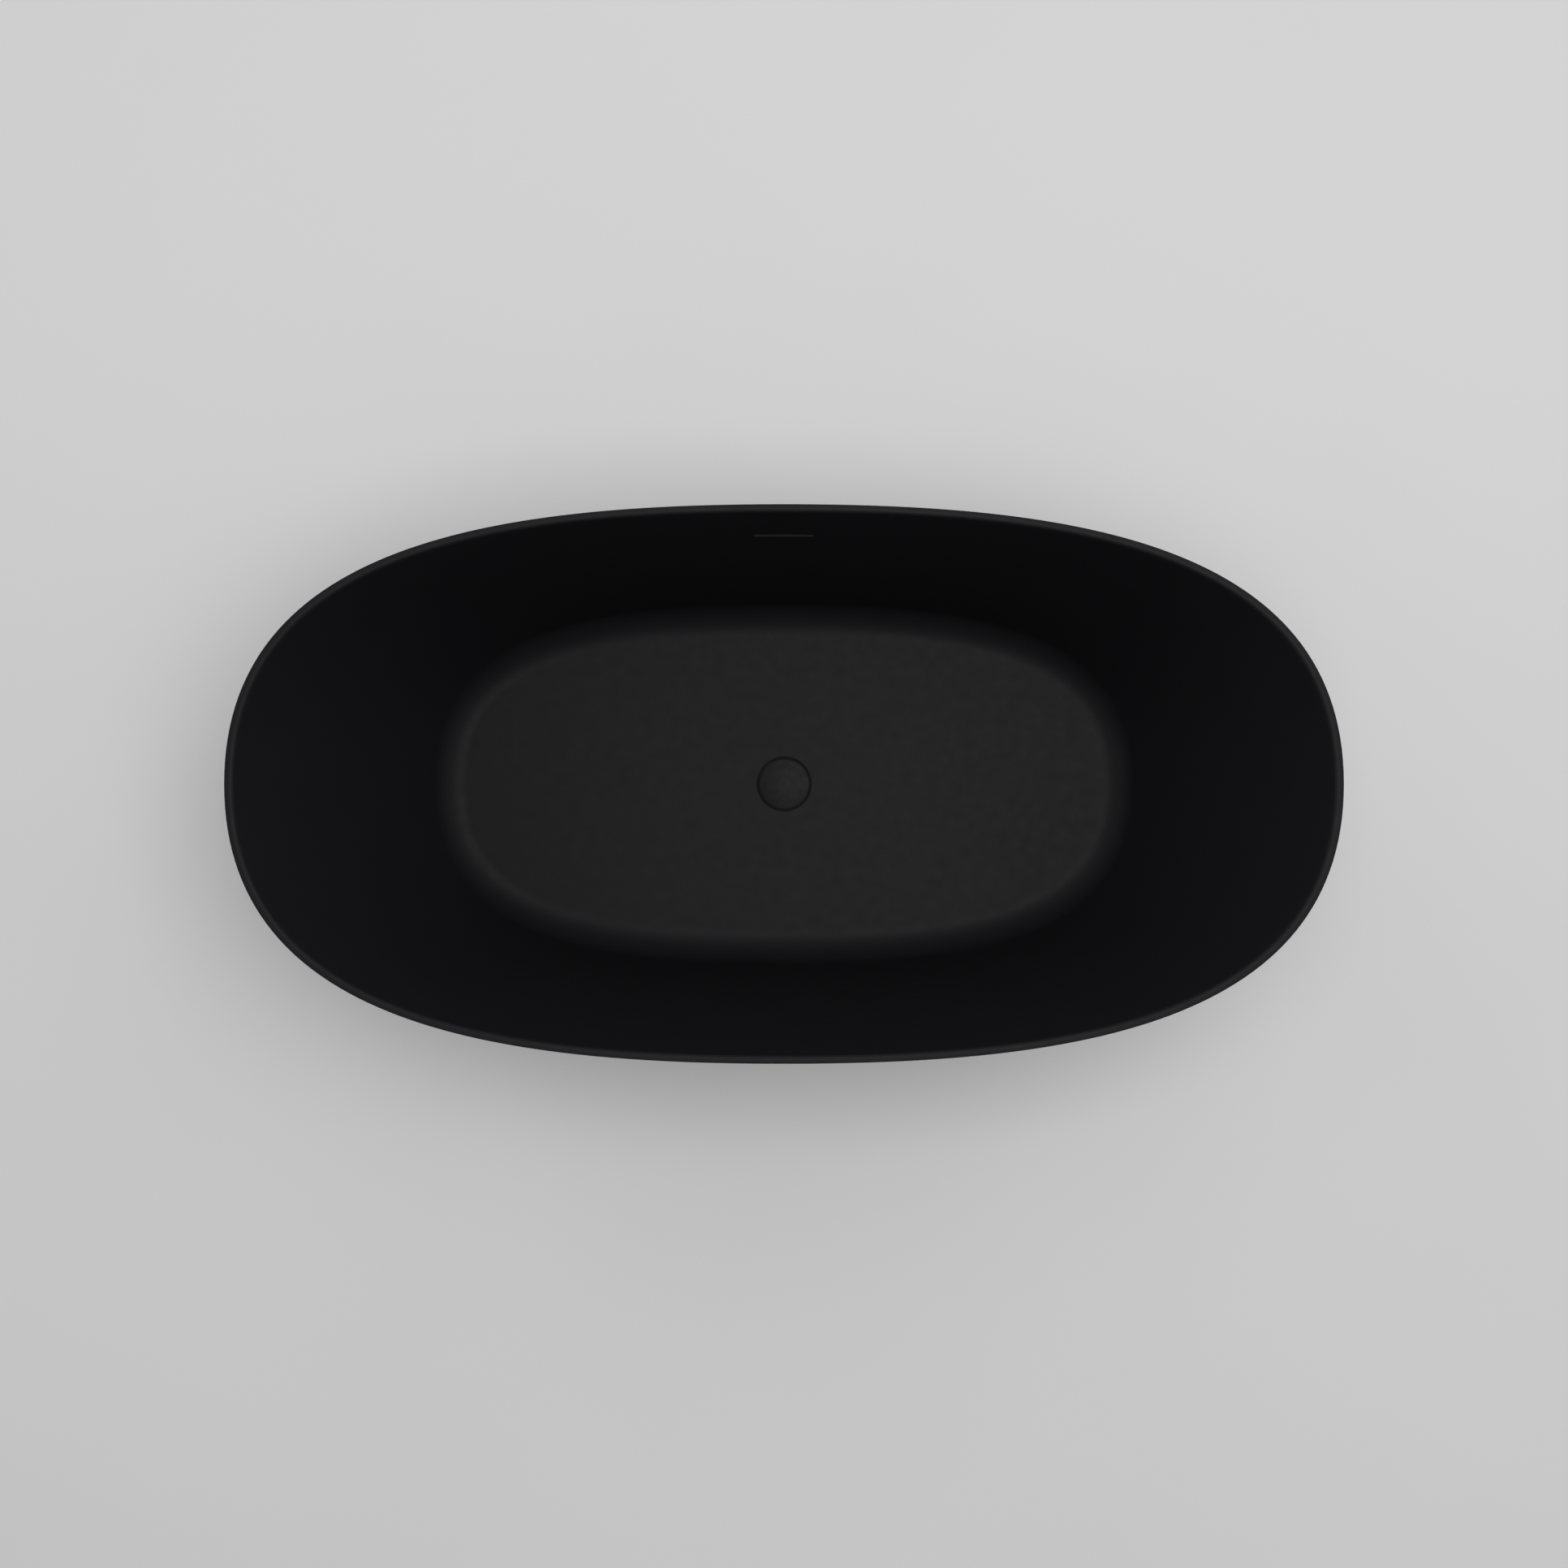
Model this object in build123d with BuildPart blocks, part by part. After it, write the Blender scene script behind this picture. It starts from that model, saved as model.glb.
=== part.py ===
"""A freestanding oval bathtub: two black acrylic shells on a steel underframe with five levelling feet,
a click waste with a domed plug in the floor, and a slot overflow that drains through a hose into the waste.

Millimetres. The origin is the middle of the footprint, on the floor. +X runs along the length,
+Y points to the side with the overflow and +Z is up.
"""

from build123d import *
import math
import os

os.makedirs("parts", exist_ok=True)

# ---------------------------------------------------------------- driving dimensions

LENGTH = 1500
WIDTH = 750
HEIGHT = 580

ACRYLIC = 4.5  # thickness of both shells
BACKING = 3.0  # glass-fibre layer behind the shells
RESIN_GAP = 0.2  # resin between a shell and its backing

RIM_WIDTH = 10.3
RIM_LIP = 12  # height of the solid rim above the seam
RIM_INNER_ROUND = 5
RIM_OUTER_ROUND = 1.5
RIM_SHARP = (0.65, 0.13)  # what rounding the outer edge takes off the half length and the half width
SEAM = 0.3

BASIN_FLOOR = 145  # height of the bathing floor
FLOOR_ROUND = 50
SKIRT_FOOT = 5  # the skirt stops this far above the room's floor

# Half length, half width and the two fullness factors of an oval, at each height
BASIN_OVALS = [
    (BASIN_FLOOR, 521, 266, 0.895, 0.511),
    ((BASIN_FLOOR + HEIGHT) / 2, 627, 314, 0.885, 0.507),
    (HEIGHT, LENGTH / 2 - RIM_WIDTH, WIDTH / 2 - RIM_WIDTH, 0.875, 0.502),
]
SKIRT_OVALS = [
    (SKIRT_FOOT, 570, 315, 0.880, 0.505),
    (290, 652, 347.5, 0.878, 0.504),
    (HEIGHT, LENGTH / 2 + RIM_SHARP[0], WIDTH / 2 + RIM_SHARP[1], 0.875, 0.502),
]
# An offset measured level instead of square to a leaning wall is this much longer, at the ends and sides
BASIN_LEAN = (1.16, 1.035)
SKIRT_LEAN = (1.08, 1.01)

BACKING_TOP = 520
SKIRT_BACKING_TOP = 450

WELL_RADIUS = 41.3  # the recess in the floor that holds the plug
WELL_DEPTH = 9
WELL_EDGE_ROUND = 1.4
WASTE_HOLE_RADIUS = 25

SLOT_LENGTH = 86
SLOT_HEIGHT = 8
SLOT_LEVEL = 490

BOARD = (900, 400, 16)
BOARD_CORNER = 90

TUBE = 25  # outside of the square steel tube
TUBE_WALL = 2
TUBE_CORNER = 3
RAIL_Y = 140
RAIL_LENGTH = 880
OUTER_BAR_X = 400
INNER_BAR_X = 135
SCREW_X = (60, 220, 320)

FOOT_Y = 172
FEET = [
    (-OUTER_BAR_X, -FOOT_Y),
    (OUTER_BAR_X, -FOOT_Y),
    (OUTER_BAR_X, FOOT_Y),
    (-OUTER_BAR_X, FOOT_Y),
    (INNER_BAR_X, 0),
]
STUD_RADIUS = 6  # M12

PLUG_RADIUS = 38.9
PLUG_CROWN = 2.0  # rise of the dome over its edge
TAIL_RADIUS = 23.9  # the threaded tail of the waste, 1 1/2 inch
OUTLET_RADIUS = 20  # outlet pipe, 40 mm

HOSE_RADIUS = 13
HOSE_BORE = 10.6
SPIGOT_RADIUS = 10.5

# Heights that follow from the ones above
SKIN = ACRYLIC + RESIN_GAP + BACKING
WELL_FLOOR = BASIN_FLOOR - WELL_DEPTH
WELL_BACK = WELL_FLOOR - SKIN
BOARD_TOP = BASIN_FLOOR - SKIN - RESIN_GAP
BOARD_BOTTOM = BOARD_TOP - BOARD[2]
BAR_TOP = BOARD_BOTTOM - TUBE
BAR_BOTTOM = BAR_TOP - TUBE

STAND = (Align.CENTER, Align.CENTER, Align.MIN)
HANG = (Align.CENTER, Align.CENTER, Align.MAX)


# ---------------------------------------------------------------- the forms that the shells share


def oval(height, half_length, half_width, end_fullness, side_fullness):
    """A closed oval of four cubic curves; the fullness factors pull each curve towards its corner."""
    with BuildSketch(Plane.XY.offset(height)) as sketch:
        with BuildLine():
            Bezier(
                (half_length, 0),
                (half_length, end_fullness * half_width),
                (side_fullness * half_length, half_width),
                (0, half_width),
            )
            mirror(about=Plane.YZ)
            mirror(about=Plane.XZ)
        make_face()
    return sketch.sketch


def grown(ovals, lean, growth):
    """The same ovals, each moved outwards by growth, or inwards where growth is below zero."""
    return [
        oval(height, a + lean[0] * growth, b + lean[1] * growth, end, side)
        for height, a, b, end, side in ovals
    ]


def basin_form(growth):
    """A solid that fills the basin from its floor to the rim, grown outwards and downwards."""
    floor_oval, *higher = BASIN_OVALS
    lowered = (floor_oval[0] - growth, *floor_oval[1:])
    with BuildPart() as form:
        loft(grown([lowered, *higher], BASIN_LEAN, growth))
        fillet(form.faces().sort_by(Axis.Z)[0].edges(), radius=FLOOR_ROUND + growth)
    return form.part


def skirt_form(growth):
    """A solid that fills the skirt from its foot to the top of the rim, grown outwards."""
    with BuildPart() as form:
        loft(grown(SKIRT_OVALS, SKIRT_LEAN, growth))
    return form.part


def at_height(ovals, level, column):
    """A half dimension of a form at a level: the parabola through its three ovals."""
    (z0, z1, z2), (v0, v1, v2) = [[row[k] for row in ovals] for k in (0, column)]
    return (
        v0 * (level - z1) * (level - z2) / ((z0 - z1) * (z0 - z2))
        + v1 * (level - z0) * (level - z2) / ((z1 - z0) * (z1 - z2))
        + v2 * (level - z0) * (level - z1) / ((z2 - z0) * (z2 - z1))
    )


# ---------------------------------------------------------------- the two shells and what is bonded to them

# Basin: the bathing shell with the solid rim, the recess for the plug and the overflow slot
with BuildPart() as basin_shell:
    add(skirt_form(0))
    split(bisect_by=Plane.XY.offset(HEIGHT - RIM_LIP), keep=Keep.TOP)
    add(basin_form(ACRYLIC))
    with Locations((0, 0, WELL_FLOOR - ACRYLIC)):
        Cylinder(WELL_RADIUS + ACRYLIC, WELL_DEPTH, align=STAND)
    add(basin_form(0), mode=Mode.SUBTRACT)
    with Locations((0, 0, WELL_FLOOR)):
        Cylinder(WELL_RADIUS, WELL_DEPTH, align=STAND, mode=Mode.SUBTRACT)
        Cylinder(WASTE_HOLE_RADIUS, 2 * SKIN, mode=Mode.SUBTRACT)
    rim_top = basin_shell.faces().sort_by(Axis.Z)[-1]
    fillet(rim_top.inner_wires()[0].edges(), radius=RIM_INNER_ROUND)
    rim_top = basin_shell.faces().sort_by(Axis.Z)[-1]
    fillet(rim_top.outer_wire().edges(), radius=RIM_OUTER_ROUND)
    well_edge = basin_shell.edges().filter_by(GeomType.CIRCLE).group_by(Axis.Z)[-1]
    fillet(well_edge, radius=WELL_EDGE_ROUND)
    with BuildSketch(Plane.XZ):
        with Locations((0, SLOT_LEVEL)):
            SlotOverall(SLOT_LENGTH, SLOT_HEIGHT)
    extrude(amount=-WIDTH / 2 + RIM_WIDTH, mode=Mode.SUBTRACT)
basin_shell.part.label = "basin_shell"
export_step(basin_shell.part, "parts/basin_shell.step")

# Glass-fibre backing of the basin, with a window for the overflow box
BACKING_START = ACRYLIC + RESIN_GAP
WINDOW_WIDTH = 130
WINDOW_BOTTOM = 270
with BuildPart() as basin_backing:
    add(basin_form(SKIN))
    with Locations((0, 0, WELL_BACK)):
        Cylinder(WELL_RADIUS + SKIN, WELL_DEPTH, align=STAND)
    split(bisect_by=Plane.XY.offset(BACKING_TOP), keep=Keep.BOTTOM)
    add(basin_form(BACKING_START), mode=Mode.SUBTRACT)
    with Locations((0, 0, WELL_BACK + BACKING)):
        Cylinder(WELL_RADIUS + BACKING_START, WELL_DEPTH, align=STAND, mode=Mode.SUBTRACT)
        Cylinder(WASTE_HOLE_RADIUS + 1, 4 * BACKING, mode=Mode.SUBTRACT)
    with Locations((0, WIDTH / 2, WINDOW_BOTTOM)):
        Box(WINDOW_WIDTH, WIDTH / 3, HEIGHT, align=STAND, mode=Mode.SUBTRACT)
basin_backing.part.label = "basin_backing"
export_step(basin_backing.part, "parts/basin_backing.step")

# Skirt: the outer shell, from its foot to the seam under the rim
with BuildPart() as skirt_shell:
    add(skirt_form(0))
    add(skirt_form(-ACRYLIC), mode=Mode.SUBTRACT)
    split(bisect_by=Plane.XY.offset(HEIGHT - RIM_LIP - SEAM), keep=Keep.BOTTOM)
skirt_shell.part.label = "skirt_shell"
export_step(skirt_shell.part, "parts/skirt_shell.step")

# Glass-fibre backing of the skirt
with BuildPart() as skirt_backing:
    add(skirt_form(-BACKING_START))
    add(skirt_form(-SKIN), mode=Mode.SUBTRACT)
    split(bisect_by=Plane.XY.offset(SKIRT_BACKING_TOP), keep=Keep.BOTTOM)
    split(bisect_by=Plane.XY.offset(2 * SKIRT_FOOT), keep=Keep.TOP)
skirt_backing.part.label = "skirt_backing"
export_step(skirt_backing.part, "parts/skirt_backing.step")

# Bead of adhesive that joins the shells just under the rim
BOND_HEIGHT = 22
with BuildPart() as rim_bond:
    add(skirt_form(-BACKING_START))
    split(bisect_by=Plane.XY.offset(HEIGHT - RIM_LIP - 1), keep=Keep.BOTTOM)
    split(bisect_by=Plane.XY.offset(HEIGHT - RIM_LIP - 1 - BOND_HEIGHT), keep=Keep.TOP)
    add(basin_form(BACKING_START), mode=Mode.SUBTRACT)
rim_bond.part.label = "rim_bond"
export_step(rim_bond.part, "parts/rim_bond.step")

# Board under the basin's floor, which the frame is screwed to
PILOT_RADIUS = 2.25
PILOT_DEPTH = 14
SCREW_POINTS = [(side * x, y) for y in (-RAIL_Y, RAIL_Y) for x in SCREW_X for side in (-1, 1)]
with BuildPart() as base_board:
    with BuildSketch(Plane.XY.offset(BOARD_BOTTOM)):
        RectangleRounded(BOARD[0], BOARD[1], BOARD_CORNER)
        Circle(WELL_RADIUS + SKIN + 3, mode=Mode.SUBTRACT)
    extrude(amount=BOARD[2])
    with Locations([(x, y, BOARD_BOTTOM) for x, y in SCREW_POINTS]):
        Cylinder(PILOT_RADIUS, PILOT_DEPTH, align=STAND, mode=Mode.SUBTRACT)
base_board.part.label = "base_board"
export_step(base_board.part, "parts/base_board.step")


# ---------------------------------------------------------------- the steel underframe


def tube_section():
    """The hollow square section of the frame's tube, in the sketch that is open."""
    RectangleRounded(TUBE, TUBE, TUBE_CORNER)
    RectangleRounded(TUBE - 2 * TUBE_WALL, TUBE - 2 * TUBE_WALL, 1, mode=Mode.SUBTRACT)


# Two long rails, screwed up into the board
for name, y in (("frame_rail_front", -RAIL_Y), ("frame_rail_back", RAIL_Y)):
    start = Plane((-RAIL_LENGTH / 2, y, BAR_TOP + TUBE / 2), x_dir=(0, 1, 0), z_dir=(1, 0, 0))
    with BuildPart() as rail:
        with BuildSketch(start):
            tube_section()
        extrude(amount=RAIL_LENGTH)
        with Locations([(x, at_y, BAR_TOP) for x, at_y in SCREW_POINTS if at_y == y]):
            Cylinder(PILOT_RADIUS + 0.4, 3 * TUBE, mode=Mode.SUBTRACT)
    rail.part.label = name
    export_step(rail.part, f"parts/{name}.step")

# Four cross bars under the rails, with holes for the feet and for the bracket screws
BLOCK_Y = {OUTER_BAR_X: 232, INNER_BAR_X: 284}  # inner face of the skirt's blocks
BAR_SHORT_OF_BLOCK = 7
BRACKET_SCREW_INSET = 28
BRACKET_SCREW_RADIUS = 2.4
bars = {}
for number, x in enumerate((-OUTER_BAR_X, -INNER_BAR_X, INNER_BAR_X, OUTER_BAR_X), 1):
    block_y = BLOCK_Y[abs(x)]
    half = block_y - BAR_SHORT_OF_BLOCK
    start = Plane((x, half, BAR_TOP - TUBE / 2), x_dir=(1, 0, 0), z_dir=(0, -1, 0))
    screw_y = block_y - BRACKET_SCREW_INSET
    with BuildPart() as bar:
        with BuildSketch(start):
            tube_section()
        extrude(amount=2 * half)
        with Locations([(x, y, BAR_BOTTOM) for foot_x, y in FEET if foot_x == x] or [(x, 2 * half, 0)]):
            Cylinder(STUD_RADIUS + 0.5, 3 * TUBE, mode=Mode.SUBTRACT)
        with Locations((x, -screw_y, BAR_TOP), (x, screw_y, BAR_TOP)):
            Cylinder(BRACKET_SCREW_RADIUS + 0.1, 3 * TUBE_WALL, mode=Mode.SUBTRACT)
    bar.part.label = f"frame_bar_{number}"
    export_step(bar.part, f"parts/frame_bar_{number}.step")
    bars[x] = half

# Weld beads where each rail crosses each bar, one on either side of the rail
BEAD = 3
with BuildPart() as weld_beads:
    for x in bars:
        for rail_y in (-RAIL_Y, RAIL_Y):
            for side in (-1, 1):
                edge_y = rail_y + side * TUBE / 2
                corner = Plane((x - TUBE / 2 + 2, edge_y, BAR_TOP), x_dir=(0, side, 0), z_dir=(side, 0, 0))
                with BuildSketch(corner):
                    with BuildLine():
                        Polyline((0, 0), (BEAD, 0), (0, BEAD), close=True)
                    make_face()
                extrude(amount=side * (TUBE - 4))
weld_beads.part.label = "weld_beads"
export_step(weld_beads.part, "parts/weld_beads.step")

# Plastic caps that close the tubes
CAP_PLATE = 2
CAP_INSERT = 12
inner_tube = TUBE - 2 * TUBE_WALL - 0.4
with BuildPart() as tube_end_caps:
    ends = [
        Plane((side * RAIL_LENGTH / 2, y, BAR_TOP + TUBE / 2), x_dir=(0, 1, 0), z_dir=(side, 0, 0))
        for side in (-1, 1)
        for y in (-RAIL_Y, RAIL_Y)
    ]
    ends += [
        Plane((x, side * half, BAR_TOP - TUBE / 2), x_dir=(1, 0, 0), z_dir=(0, side, 0))
        for x, half in bars.items()
        for side in (-1, 1)
    ]
    for end in ends:
        with BuildSketch(end):
            RectangleRounded(TUBE, TUBE, TUBE_CORNER)
        extrude(amount=CAP_PLATE)
        with BuildSketch(end):
            RectangleRounded(inner_tube, inner_tube, 1)
        extrude(amount=-CAP_INSERT)
tube_end_caps.part.label = "tube_end_caps"
export_step(tube_end_caps.part, "parts/tube_end_caps.step")

# Pan-head screws that hold the rails to the board
SCREW_HEAD = (4.6, 3)
with BuildPart() as frame_screws:
    for x, y in SCREW_POINTS:
        with Locations((x, y, BAR_TOP)):
            Cylinder(SCREW_HEAD[0], SCREW_HEAD[1], align=HANG)
            Cylinder(PILOT_RADIUS - 0.05, TUBE + PILOT_DEPTH - 1, align=STAND)
frame_screws.part.label = "frame_screws"
export_step(frame_screws.part, "parts/frame_screws.step")

# Wooden blocks glued to the inside of the skirt, two beside each cross bar
BLOCK = (56, 70, 52)
BLOCK_BOTTOM = 44
CORNERS = [(x, side) for x in bars for side in (-1, 1)]
with BuildPart() as skirt_blocks:
    for x, side in CORNERS:
        with Locations((x, side * (BLOCK_Y[abs(x)] + BLOCK[1] / 2), BLOCK_BOTTOM)):
            Box(*BLOCK, align=STAND)
    add(skirt_form(-SKIN - RESIN_GAP), mode=Mode.INTERSECT)
    pilots = [(x, side * BLOCK_Y[abs(x)], BAR_BOTTOM - 13) for x, side in CORNERS]
    with Locations([Location(point, (90, 0, 0)) for point in pilots]):
        Cylinder(BRACKET_SCREW_RADIUS + 0.05, 40, mode=Mode.SUBTRACT)
skirt_blocks.part.label = "skirt_blocks"
export_step(skirt_blocks.part, "parts/skirt_blocks.step")

# Steel angles that tie each bar end to its block
STRIP = 2.5
ANGLE_WIDTH = 30
ANGLE_REACH = 46
ANGLE_DROP = BAR_TOP + STRIP - BLOCK_BOTTOM - 4
with BuildPart() as skirt_brackets:
    for x, side in CORNERS:
        block_y = BLOCK_Y[abs(x)]
        outline = [
            (side * block_y, BAR_TOP + STRIP),
            (side * (block_y - ANGLE_REACH), BAR_TOP + STRIP),
            (side * (block_y - ANGLE_REACH), BAR_TOP),
            (side * (block_y - STRIP), BAR_TOP),
            (side * (block_y - STRIP), BAR_TOP + STRIP - ANGLE_DROP),
            (side * block_y, BAR_TOP + STRIP - ANGLE_DROP),
        ]
        with BuildSketch(Plane.YZ.offset(x - ANGLE_WIDTH / 2)):
            with BuildLine():
                Polyline(*outline, close=True)
            make_face()
        extrude(amount=ANGLE_WIDTH)
        with Locations((x, side * (block_y - BRACKET_SCREW_INSET), BAR_TOP)):
            Cylinder(BRACKET_SCREW_RADIUS + 0.3, 4 * STRIP, mode=Mode.SUBTRACT)
        with Locations(Location((x, side * block_y, BAR_BOTTOM - 13), (90, 0, 0))):
            Cylinder(BRACKET_SCREW_RADIUS + 0.3, 4 * STRIP, mode=Mode.SUBTRACT)
skirt_brackets.part.label = "skirt_brackets"
export_step(skirt_brackets.part, "parts/skirt_brackets.step")

# Screws through the angles, one down into the bar and one into the block
with BuildPart() as bracket_screws:
    for x, side in CORNERS:
        block_y = BLOCK_Y[abs(x)]
        with Locations((x, side * (block_y - BRACKET_SCREW_INSET), BAR_TOP + STRIP)):
            Cylinder(SCREW_HEAD[0], SCREW_HEAD[1], align=STAND)
            Cylinder(BRACKET_SCREW_RADIUS, 12, align=HANG)
        inward = Location((x, side * (block_y - STRIP), BAR_BOTTOM - 13), (side * 90, 0, 0))
        with Locations(inward):
            Cylinder(SCREW_HEAD[0], SCREW_HEAD[1], align=STAND)
            Cylinder(BRACKET_SCREW_RADIUS, 18, align=HANG)
bracket_screws.part.label = "bracket_screws"
export_step(bracket_screws.part, "parts/bracket_screws.step")

# ---------------------------------------------------------------- the levelling feet

NUT_FLATS = 19
WELD_NUT_HEIGHT = 10
LOCK_NUT_HEIGHT = 7
nut_radius = NUT_FLATS / 2 / math.cos(math.pi / 6)


def nuts(top, height):
    """One hexagonal nut for each foot, hanging below a level, in the part that is open."""
    for x, y in FEET:
        with BuildSketch(Plane.XY.offset(top)) as face:
            with Locations((x, y)):
                RegularPolygon(nut_radius, 6)
                Circle(STUD_RADIUS + 0.1, mode=Mode.SUBTRACT)
        extrude(face.sketch, amount=-height)


with BuildPart() as weld_nuts:
    nuts(BAR_BOTTOM, WELD_NUT_HEIGHT)
weld_nuts.part.label = "weld_nuts"
export_step(weld_nuts.part, "parts/weld_nuts.step")

with BuildPart() as lock_nuts:
    nuts(BAR_BOTTOM - WELD_NUT_HEIGHT, LOCK_NUT_HEIGHT)
lock_nuts.part.label = "lock_nuts"
export_step(lock_nuts.part, "parts/lock_nuts.step")

GRIP = (23.5, 3)
PAD_RADIUS = 25
BALL_RADIUS = 7.2
BALL_LEVEL = 14
STUD_TOP = 108
for number, (x, y) in enumerate(FEET, 1):
    # Rubber disc that stands on the room's floor
    with BuildPart() as foot_grip:
        with Locations((x, y, 0)):
            Cylinder(*GRIP, align=STAND)
        chamfer(foot_grip.edges().group_by(Axis.Z)[0], length=0.6)
    foot_grip.part.label = f"foot_grip_{number}"
    export_step(foot_grip.part, f"parts/foot_grip_{number}.step")

    # Nylon pad with a socket for the stud's ball
    with BuildPart() as foot_pad:
        with BuildSketch(Plane((x, y, 0), x_dir=(1, 0, 0), z_dir=(0, -1, 0))):
            with BuildLine():
                Polyline((0, 3), (25, 3), (25, 7), (13, 12), (11, 21), (0, 21), close=True)
            make_face()
        revolve(axis=Axis((x, y, 0), (0, 0, 1)))
        fillet(foot_pad.edges().group_by(Axis.Z)[-1], radius=1)
        with Locations((x, y, BALL_LEVEL)):
            Sphere(BALL_RADIUS + 0.2, mode=Mode.SUBTRACT)
            Cylinder(STUD_RADIUS + 0.5, 20, align=STAND, mode=Mode.SUBTRACT)
    foot_pad.part.label = f"foot_pad_{number}"
    export_step(foot_pad.part, f"parts/foot_pad_{number}.step")

    # Threaded stud with a ball at its foot and a hexagon for the spanner
    with BuildPart() as foot_stud:
        with Locations((x, y, BALL_LEVEL)):
            Sphere(BALL_RADIUS)
            Cylinder(STUD_RADIUS, STUD_TOP - BALL_LEVEL, align=STAND)
        with BuildSketch(Plane.XY.offset(24)):
            with Locations((x, y)):
                RegularPolygon(nut_radius * 17 / 19, 6)
        extrude(amount=8)
        chamfer(foot_stud.edges().group_by(Axis.Z)[-1], length=1)
    foot_stud.part.label = f"foot_stud_{number}"
    export_step(foot_stud.part, f"parts/foot_stud_{number}.step")

# ---------------------------------------------------------------- the waste

FLANGE_SEAL = 1.0
FLANGE_PLATE = 2.5
FLANGE_RADIUS = 39
FLANGE_TOP = WELL_FLOOR + FLANGE_SEAL + FLANGE_PLATE
TAIL_BOTTOM = 100
WASTE_BORE = 20.5
BOSS_RADIUS = 9.5
SPIDER_TOP = 125
SPIDER_BOTTOM = 117
BARREL_RADIUS = 6
LOWER_SEAL = 3

# Soft ring between the flange and the floor of the recess
with BuildPart() as flange_seal:
    with BuildSketch(Plane.XY.offset(WELL_FLOOR)):
        Circle(FLANGE_RADIUS - 1)
        Circle(WASTE_HOLE_RADIUS + 1, mode=Mode.SUBTRACT)
    extrude(amount=FLANGE_SEAL)
flange_seal.part.label = "flange_seal"
export_step(flange_seal.part, "parts/flange_seal.step")

# Brass flange with its threaded tail, and the spider that carries the click barrel
with BuildPart() as waste_flange:
    with BuildSketch(Plane.XZ):
        with BuildLine():
            Polyline(
                (WASTE_BORE, TAIL_BOTTOM),
                (TAIL_RADIUS, TAIL_BOTTOM),
                (TAIL_RADIUS, FLANGE_TOP - FLANGE_PLATE),
                (FLANGE_RADIUS, FLANGE_TOP - FLANGE_PLATE),
                (FLANGE_RADIUS, FLANGE_TOP - 0.8),
                (FLANGE_RADIUS - 3, FLANGE_TOP),
                (WASTE_BORE + 3, FLANGE_TOP),
                (WASTE_BORE, FLANGE_TOP - 3),
                close=True,
            )
        make_face()
    revolve(axis=Axis.Z)
    with BuildSketch(Plane.XY.offset(SPIDER_BOTTOM)):
        Circle(BOSS_RADIUS)
        Rectangle(2 * WASTE_BORE + 2, 3.5)
        Rectangle(3.5, 2 * WASTE_BORE + 2)
        Circle(BARREL_RADIUS + 0.05, mode=Mode.SUBTRACT)
    extrude(amount=SPIDER_TOP - SPIDER_BOTTOM)
waste_flange.part.label = "waste_flange"
export_step(waste_flange.part, "parts/waste_flange.step")

# Rubber ring between the back of the basin and the waste body
with BuildPart() as lower_seal:
    with BuildSketch(Plane.XY.offset(WELL_BACK)):
        Circle(33)
        Circle(TAIL_RADIUS + 0.3, mode=Mode.SUBTRACT)
    extrude(amount=-LOWER_SEAL)
lower_seal.part.label = "lower_seal"
export_step(lower_seal.part, "parts/lower_seal.step")

# Plastic body under the basin: it screws onto the tail, takes the overflow's hose and ends in the outlet pipe
BODY_TOP = WELL_BACK - LOWER_SEAL
BODY_RADIUS = 31
CHAMBER = 28
CHAMBER_TOP = 97
CHAMBER_BOTTOM = 62
OUTLET_BOTTOM = 22
OUTLET_BORE = 18
INLET_LEVEL = 80
INLET_REACH = 66
with BuildPart() as waste_body:
    with BuildSketch(Plane.XZ):
        with BuildLine():
            Polyline(
                (TAIL_RADIUS + 0.15, BODY_TOP),
                (34, BODY_TOP),
                (34, BODY_TOP - 5),
                (BODY_RADIUS, BODY_TOP - 6.5),
                (BODY_RADIUS, CHAMBER_BOTTOM + 3),
                (BODY_RADIUS - 3, CHAMBER_BOTTOM),
                (OUTLET_RADIUS, CHAMBER_BOTTOM - 3),
                (OUTLET_RADIUS, OUTLET_BOTTOM),
                (OUTLET_BORE, OUTLET_BOTTOM),
                (OUTLET_BORE, CHAMBER_BOTTOM + 2),
                (CHAMBER, CHAMBER_BOTTOM + 5),
                (CHAMBER, CHAMBER_TOP - 4),
                (TAIL_RADIUS + 0.15, CHAMBER_TOP),
                close=True,
            )
        make_face()
    revolve(axis=Axis.Z)
    inlet = Plane((0, CHAMBER + 1.5, INLET_LEVEL), x_dir=(1, 0, 0), z_dir=(0, 1, 0))
    with BuildSketch(inlet):
        Circle(SPIGOT_RADIUS)
    extrude(amount=INLET_REACH - CHAMBER - 1.5)
    with BuildSketch(Plane((0, CHAMBER - 4, INLET_LEVEL), x_dir=(1, 0, 0), z_dir=(0, 1, 0))):
        Circle(SPIGOT_RADIUS - 2)
    extrude(amount=INLET_REACH, mode=Mode.SUBTRACT)
    for angle in range(45, 360, 90):
        with Locations(Location((0, 0, BODY_TOP - 6.5), (0, 0, angle))):
            with Locations((BODY_RADIUS + 0.5, 0, 0)):
                Box(4, 3, 40, align=HANG)
waste_body.part.label = "waste_body"
export_step(waste_body.part, "parts/waste_body.step")

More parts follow.
